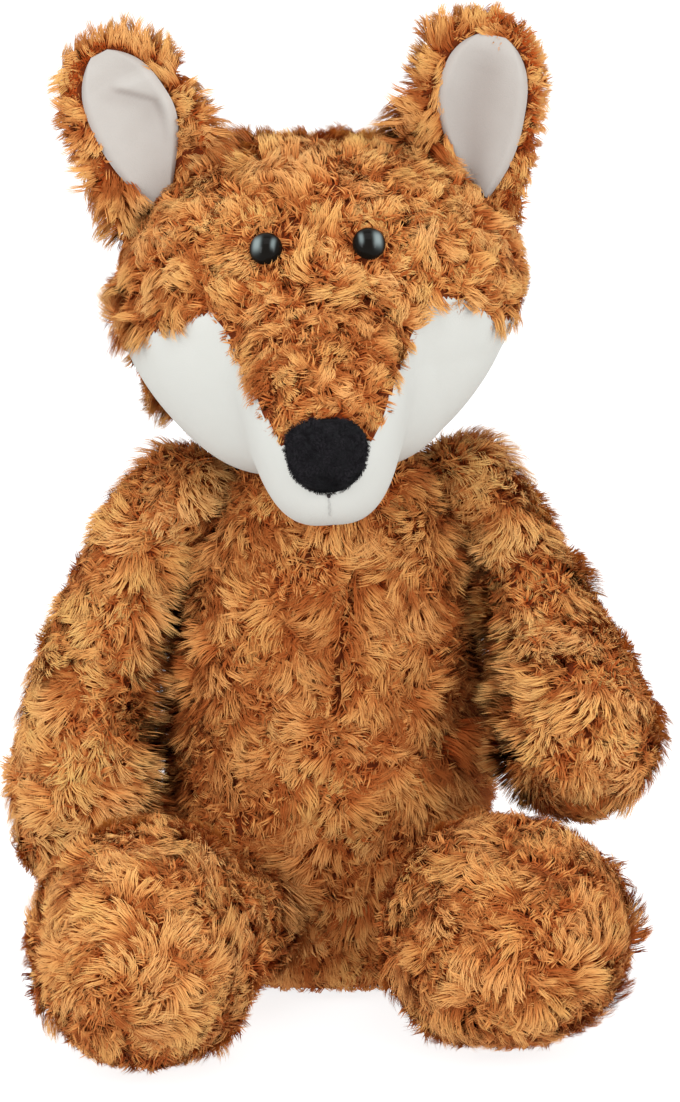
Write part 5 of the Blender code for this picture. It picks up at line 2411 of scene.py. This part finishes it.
    def build_eye(self, side: Side) -> None:
        """Make a glossy domed eye on its stem, in the place of its node, with two painted reflection patches
        marked on it.

        Args:
            side: Which eye.
        """
        node = f"eye_{side.word}"
        x, z = np.array(side.value * self.eye_at[0]), np.array(self.eye_at[1])
        top = self.lean_only(self.form.front(x, z))
        normal = unit(self.lean_only(self.form.front(x, z) + self.form.facing(x, z)) - top)
        verts = np.array([vert.co for vert in bpy.data.objects[node].data.vertices])
        radius, dome = self.eye_radius, self.eye_radius * self.eye_dome
        lift = ((verts - top) @ normal).max() - dome * MM
        arc = np.linspace(0, math.pi / 2, 26)
        profile = [(radius * math.sin(a), dome * math.cos(a)) for a in arc]
        profile += [(radius * 0.93, -0.35), (1.6, -0.5), (1.6, -6.0), (0.0, -6.0)]
        rings = np.array(profile) * MM
        turn = np.linspace(0, 2 * math.pi, 64, endpoint=False)
        right = unit(np.cross(normal, UP))
        up = np.cross(right, normal)
        flat_x, flat_y = rings[:, :1] * np.cos(turn), rings[:, :1] * np.sin(turn)
        points = top + right * flat_x[..., None] + up * flat_y[..., None]
        points = points + normal * (lift + rings[:, 1])[:, None, None]
        surface = Surface(points, True, turn[None] + 0 * rings[:, :1], 0 * turn[None] + rings[:, :1])
        surface.outward_from(points.reshape(-1, 3).mean(axis=0))
        mesh = new_mesh(f"{node}_dome", surface.points.reshape(-1, 3), surface.faces)
        unit_x, unit_y = flat_x * -side.value / radius / MM, flat_y / radius / MM
        # Two painted reflection patches, marked on the dome's front for its finish to glow.
        painted_glint = self.window(unit_x, unit_y, (0.42, 0.02), (0.26, 0.46), 1.0)
        painted_glint = painted_glint + self.window(unit_x, unit_y, (-0.56, 0.12), (0.13, 0.34), 0.75)
        store(mesh, "painted_glint", painted_glint * (rings[:, 1:] > 0))
        seat(link(f"{node}_dome", mesh, Finish.EYE), "head", SLOTS[Finish.EYE], node)

    @staticmethod
    def window(
        x: Array,
        y: Array,
        middle: tuple[float, float],
        half: tuple[float, float],
        peak: float,
    ) -> Array:
        """Make a soft-edged painted reflection patch on a glossy dome.

        Args:
            x: Places across the dome, from -1 to 1.
            y: Places up the dome, from -1 to 1.
            middle: The patch's middle.
            half: Its half sizes.
            peak: How strong it is.

        Returns:
            The patch's strength at each place.
        """
        away = (np.abs(x - middle[0]) / half[0]) ** 3 + (np.abs(y - middle[1]) / half[1]) ** 3
        return peak * np.exp(-away)

    def build_stitches(self) -> None:
        """Make the dark stitch under the nose and the seam down the chin."""
        stitch = np.linspace(-40.2, -41.4, 7)
        self.thread("nose_stitch", np.zeros(len(stitch)), stitch, 0.55, Finish.THREAD)
        chin = np.linspace(-41.5, -47.5, 16)
        self.thread("chin_seam", 0.15 * np.sin(chin * 3), chin, 0.2, Finish.SEAM)

    def thread(self, name: str, x: Array, z: Array, radius: float, finish: Finish) -> None:
        """Make a round thread that lies on the face.

        Args:
            name: The piece's name.
            x: Places across the face, in millimetres.
            z: Places up the face, in millimetres.
            radius: The thread's radius, in millimetres.
            finish: Its finish.
        """
        line = self.rest(self.form.front(x, z) + self.form.facing(x, z) * radius * 0.4)
        run = unit(np.gradient(line, axis=0))
        side = unit(np.cross(run, (0.0, -1.0, 0.2)))
        over = np.cross(side, run)
        turn = np.linspace(0, 2 * math.pi, 10, endpoint=False)
        fade = np.sin(np.linspace(0.05, math.pi - 0.05, len(line))) ** 0.3 * radius * MM
        ring = side[:, None] * np.cos(turn)[None, :, None] + over[:, None] * np.sin(turn)[None, :, None]
        points = line[:, None] + ring * fade[:, None, None]
        surface = Surface(points, True, turn[None] + 0 * fade[:, None], 0 * turn[None] + fade[:, None])
        surface.outward_from(line.mean(axis=0))
        mesh = new_mesh(name, points.reshape(-1, 3), surface.faces)
        seat(link(name, mesh, finish), "head", SLOTS[finish])


@dataclass
class Ear:
    """An ear: its skin, the fur behind it and round its rim, and its lining.

    Attributes:
        toy: The toy.
        head: The head that it stands on.
        form: Its form.
    """

    toy: Toy
    head: Head
    form: EarForm

    def build(self) -> None:
        """Make the ear."""
        word = self.form.side.word
        body = f"ear_{word}"
        upright, turn, share = self.form.leaf(self.head.form)
        points = self.head.lean_only(upright)
        surface = Surface(points, True, turn, share).outward_from(points.reshape(-1, 3).mean(axis=0))
        mesh = new_mesh(f"{body}_skin", surface.sunk(0.3 * MM), surface.faces)
        seat(link(f"{body}_skin", mesh, Finish.SKIN), body, SLOTS[Finish.SKIN])
        self.build_fur(surface, body, word)
        self.build_lining(body, word)

    def uncovered(self, roots: Roots) -> Array:
        """Find places that the lining doesn't hide.

        Args:
            roots: Places on the ear.

        Returns:
            True for each.
        """
        rise = np.sin(roots.v * math.pi / 2)
        outer, inner = self.form.lining_edges(rise)
        across = np.cos(roots.u) * self.form.side.value
        hidden = (np.sin(roots.u) < 0) & (rise < self.form.lining_top - 0.02)
        return ~(hidden & (across < -outer - 0.06) & (across > -inner + 0.06))

    def build_fur(self, surface: Surface, body: str, word: str) -> None:
        """Make the pile of the ear's back and of the rim in front, which frames the lining.

        Args:
            surface: The ear's surface.
            body: The body that it rides on.
            word: The ear's side.
        """
        undercoat(self.toy, f"{body}_undercoat", surface, body, self.uncovered)
        roots = self.toy.cover(surface, EAR_PILE, self.uncovered)
        out = unit(roots.points - surface.points.reshape(-1, 3).mean(axis=0))
        comb = out + UP * 0.25 + np.array((self.form.side.value * 0.1, 0, 0))
        rise, outward = np.sin(roots.v * math.pi / 2), np.cos(roots.u)
        outer, top, inner = self.form.fringe
        scale = np.interp(outward, (-1, 1), (inner, outer))
        scale = scale + (top - scale) * np.clip(rise * 4 - 3, 0, 1)
        scale = scale * np.where(np.sin(roots.u) < -0.35, 0.8, 1.0)
        low = np.clip(1.5 - rise * 3, 0, 1) * np.clip(-outward * 2, 0, 1)
        plan = Plan(comb, scale * (1 + self.form.clump * low), 1 - 0.4 * low)
        hairs = grow(roots, plan, np.zeros(len(roots), int), EAR_PILE, self.toy.rng)
        self.toy.dress(hairs, [(f"{body}_fur", body, (f"ear_back_{word}",), Finish.FUR)])

    def build_lining(self, body: str, word: str) -> None:
        """Make the pale lining, cupped and faintly creased, with an edge that turns under and painted shade
        in its crease and hollow.

        Args:
            body: The body that it rides on.
            word: The ear's side.
        """
        form = self.form
        rows, columns = 60, 40
        rise = np.sin(np.linspace(0, 1, rows) * math.pi / 2)[:, None]
        share = np.linspace(0, 1, columns)[None]
        outer, inner = form.lining_edges(rise)
        across = -form.side.value * (outer + (inner - outer) * share)
        start = form.root(self.head.form, across, -1.0)
        up = start + (form.lining_top - start) * rise
        rim = np.minimum(np.minimum(share, 1 - share) * 8, np.minimum(1 - rise + 0 * share, 1) * 8)
        relief, shade = self.folded(share, rise) if form.side is Side.LEFT else self.spooned(share, rise)
        forward = 2.05 - 1.9 * (1 - np.clip(rim, 0, 1)) ** 2 + relief
        points = self.head.lean_only(form.place(self.head.form, across, up, forward))
        surface = Surface(points, False, share + 0 * rise, rise + 0 * share)
        if surface.normals[:, 1].sum() > 0:
            surface.flip()
        mesh = new_mesh(f"{body}_lining", surface.points.reshape(-1, 3), surface.faces)
        # Painted shade for the lining's finish, stored on its points.
        store(mesh, "shade", np.clip(shade, 0, 1))
        seat(link(f"{body}_lining", mesh, Finish.LINING), body, SLOTS[Finish.LINING], f"ear_lining_{word}")

    @staticmethod
    def folded(share: Array, rise: Array) -> tuple[Array, Array]:
        """Fold the lining's inner strip forward along a slanting crease.

        Args:
            share: Places across the lining, from its outer edge.
            rise: Places up the lining.

        Returns:
            The relief in millimetres, and the painted shade: lighter on the flap, darker in the crease and
            low on the inner side.
        """
        crease = 0.85 - 0.38 * np.clip((rise - 0.56) / 0.2, 0, 1)
        past = (share - crease) / 0.05
        step = 1 / (1 + np.exp(-np.clip(past, -30, 30)))
        fade = np.clip(rise * 4 - 1.0, 0, 1) * np.clip((0.80 - rise) * 12, 0, 1)
        dip = (0.75 * np.exp(-((past + 0.8) ** 2)) + 0.35 * np.exp(-(((past + 3) / 3) ** 2))) * fade
        relief = (step * 1.1 - dip * 0.9 + 0.5 * np.exp(-(((share - 0.35) / 0.2) ** 2))) * fade
        low = np.clip(1 - rise * 2.5, 0, 1)
        return relief, 0.86 + 0.2 * step * fade - 0.55 * dip - 0.4 * low * share

    @staticmethod
    def spooned(share: Array, rise: Array) -> tuple[Array, Array]:
        """Hollow the lining along its middle, with a rounded rim.

        Args:
            share: Places across the lining, from its outer edge.
            rise: Places up the lining.

        Returns:
            The relief in millimetres, and the painted shade: darker in the hollow, low down and towards the
            inner edge.
        """
        hollow = np.exp(-(((share - 0.52) / 0.24) ** 2)) * np.clip((1 - rise) * 4, 0, 1)
        low = np.clip(0.8 - rise, 0, 1)
        shade = 0.80 - 0.45 * hollow - 0.35 * low * share - 0.2 * np.clip(share - 0.7, 0, 1)
        return -1.3 * hollow, shade


# Stage


@dataclass(frozen=True)
class Stage:
    """Floor, light and the camera of the front view.

    Attributes:
        target: The point at the picture's middle.
        elevation: How far the camera looks down.
        distance: How far it stands off the target.
        frame_height: How much of the target's plane the picture shows, top to bottom.
        sensor: The height of the camera's sensor, in millimetres.
    """

    target: tuple[float, float, float] = (0.0025, -0.025, 0.1275)
    elevation: float = math.radians(12)
    distance: float = 1.35
    frame_height: float = 0.3086
    sensor: float = 24.0

    def build(self) -> None:
        """Make the stage."""
        self.build_floor()
        self.build_world()
        self.build_lights()
        self.build_camera()
        bpy.context.scene.view_settings.view_transform = "Standard"

    def build_floor(self) -> None:
        """A wide pale floor."""
        half = 6.0
        points = np.array([(-half, -half, 0), (half, -half, 0), (half, half, 0), (-half, half, 0)])
        board = Board("pale_floor")
        board.set(Base_Color=(0.30, 0.30, 0.30), Roughness=0.9, Specular_IOR_Level=0.1)
        board.set(Emission_Color=(1.0, 1.0, 1.0), Emission_Strength=0.85)
        mesh = new_mesh("floor", points, np.array([[0, 1, 2, 3]]))
        mesh.materials.append(board.material)
        floor = bpy.data.objects.new("floor", mesh)
        bpy.context.scene.collection.objects.link(floor)

    def build_world(self) -> None:
        """An even white surround."""
        world = bpy.data.worlds.new("studio")
        world.use_nodes = True
        background = world.node_tree.nodes["Background"]
        background.inputs["Color"].default_value = (1, 1, 1, 1)
        background.inputs["Strength"].default_value = 1.0
        bpy.context.scene.world = world

    def build_lights(self) -> None:
        """Two upright soft boxes in front, left and right, and a wide one above."""
        lamps = (
            ("left_box", (-0.62, -0.80, 0.45), (0.22, 0.60), 4.2),
            ("right_box", (0.66, -0.76, 0.42), (0.22, 0.60), 3.9),
            ("top_box", (0.0, -0.38, 1.15), (0.7, 0.7), 3.6),
        )
        for name, place, size, power in lamps:
            data = bpy.data.lights.new(name, "AREA")
            data.shape = "RECTANGLE"
            data.size, data.size_y = size
            data.energy = power
            lamp = bpy.data.objects.new(name, data)
            lamp.location = place
            lamp.rotation_euler = (Vector((0, 0, 0.12)) - Vector(place)).to_track_quat("-Z", "Y").to_euler()
            bpy.context.scene.collection.objects.link(lamp)

    def build_camera(self) -> None:
        """The camera of the front view."""
        data = bpy.data.cameras.new("front_view")
        data.sensor_fit = "VERTICAL"
        data.sensor_height = self.sensor
        data.lens = self.sensor * self.distance / self.frame_height
        camera = bpy.data.objects.new("front_view", data)
        away = Vector((0, -math.cos(self.elevation), math.sin(self.elevation))) * self.distance
        camera.location = Vector(self.target) + away
        camera.rotation_euler = (math.pi / 2 - self.elevation, 0, 0)
        bpy.context.scene.collection.objects.link(camera)
        bpy.context.scene.camera = camera


ARM_LEFT = LimbForm(
    (
        (-40, -5.5, 138.5, 14.5, 14.5),
        (-51.5, -6, 127, 14, 13.5),
        (-60.3, -9, 107, 14.7, 15),
        (-66.6, -14, 84, 17.5, 17.5),
        (-69.5, -19, 60, 20, 20),
        (-69, -21, 47, 19.5, 20),
    ),
    (0, 1, 0),
)
ARM_RIGHT = LimbForm(
    (
        (40, 5.5, 139.5, 14.5, 14.5),
        (50.6, -0.5, 127.5, 12.8, 13.2),
        (59.6, -12, 109, 15.5, 15),
        (66.6, -26, 92.5, 18.6, 17.5),
        (70, -40, 82, 21.5, 20),
        (71, -46, 77, 21.5, 20),
    ),
    (0, 1, 0),
)
LEG_LEFT = LimbForm(
    (
        (-23, -44.5, 24.5, 16.5, 16.5),
        (-30, -56, 25, 18, 19),
        (-38, -71, 29, 21, 24),
        (-44.5, -84, 33, 28.5, 31),
        (-48.5, -97, 33, 32, 33.5),
        (-50, -107, 33, 27, 30),
    ),
    (0, 0, 1),
)
LEG_RIGHT = LimbForm(
    (
        (34.5, -36.5, 24.5, 16.5, 16.5),
        (38, -47, 26, 19, 20),
        (42, -57, 29, 23, 24),
        (46, -67, 31, 30, 30),
        (49, -79, 31.5, 35, 32),
        (51, -89, 31.5, 31, 28),
    ),
    (0, 0, 1),
)
TAIL = LimbForm(
    (
        (-6, 41, 24, 11, 11),
        (-7, 56, 20, 14, 14),
        (-6, 76, 19, 19, 19),
        (0, 96, 20, 20, 20),
        (8, 112, 17, 15, 16),
        (14, 122, 13, 9, 10),
    ),
    (0, 0, 1),
)


def dress_hidden_nodes(nodes: dict[str, bpy.types.Object]) -> None:
    """Give the pieces that stay as packed, all of them inside, their own finish.

    Args:
        nodes: The frame's nodes by name.
    """
    for name, finish in (
        ("bean_pouch", Finish.POUCH),
        ("eye_washer_left", Finish.WASHER),
        ("eye_washer_right", Finish.WASHER),
    ):
        for place in nodes[name].material_slots:
            place.material = finish.material()


def main() -> None:
    """Build the toy on its stage."""
    logging.basicConfig(level=logging.INFO, format="%(name)s: %(message)s")
    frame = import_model()
    neck = next(joint for joint in frame["joints"] if joint["name"] == "neck_turn")
    head_form = HeadForm()
    origin = np.array(neck["pos_m"]) - np.array(head_form.pivot) * MM
    toy = Toy(origin, np.random.default_rng(SEED))
    dress_hidden_nodes(frame["nodes"])
    Torso(toy).build()
    # The last numbers paint each limb lighter or darker, as painted light and shade.
    Limb(toy, "arm_left", ARM_LEFT, ("back", "front"), inner_rise=0.85, tone=0.10).build()
    Limb(toy, "arm_right", ARM_RIGHT, ("back", "front"), inner_rise=0.75, tone=0.06).build()
    for name, form, tone in (("leg_left", LEG_LEFT, -0.04), ("leg_right", LEG_RIGHT, -0.19)):
        Limb(toy, name, form, ("top", "under"), LimbEnd("sole", 4.6), 0.1, tone=tone).build()
    tip = LimbEnd("tip", 4.1, Finish.TAIL_TIP, 0.5)
    Limb(toy, "tail", TAIL, ("top", "under"), tip, 0.1).build()
    head = Head(toy, head_form)
    head.build()
    ears = (
        EarForm(
            Side.LEFT,
            math.radians(25),
            lining_outer=(-0.42, -0.68),
            fringe=(1.1, 1.1, 0.9),
            clump=1.1,
        ),
        EarForm(
            Side.RIGHT,
            math.radians(14.5),
            lining_top=0.87,
            lining_inner=(0.04, 0.66),
            fringe=(0.6, 0.45, 1.25),
        ),
    )
    for form in ears:
        Ear(toy, head, form).build()
    Stage().build()


if __name__ == "__main__":
    main()
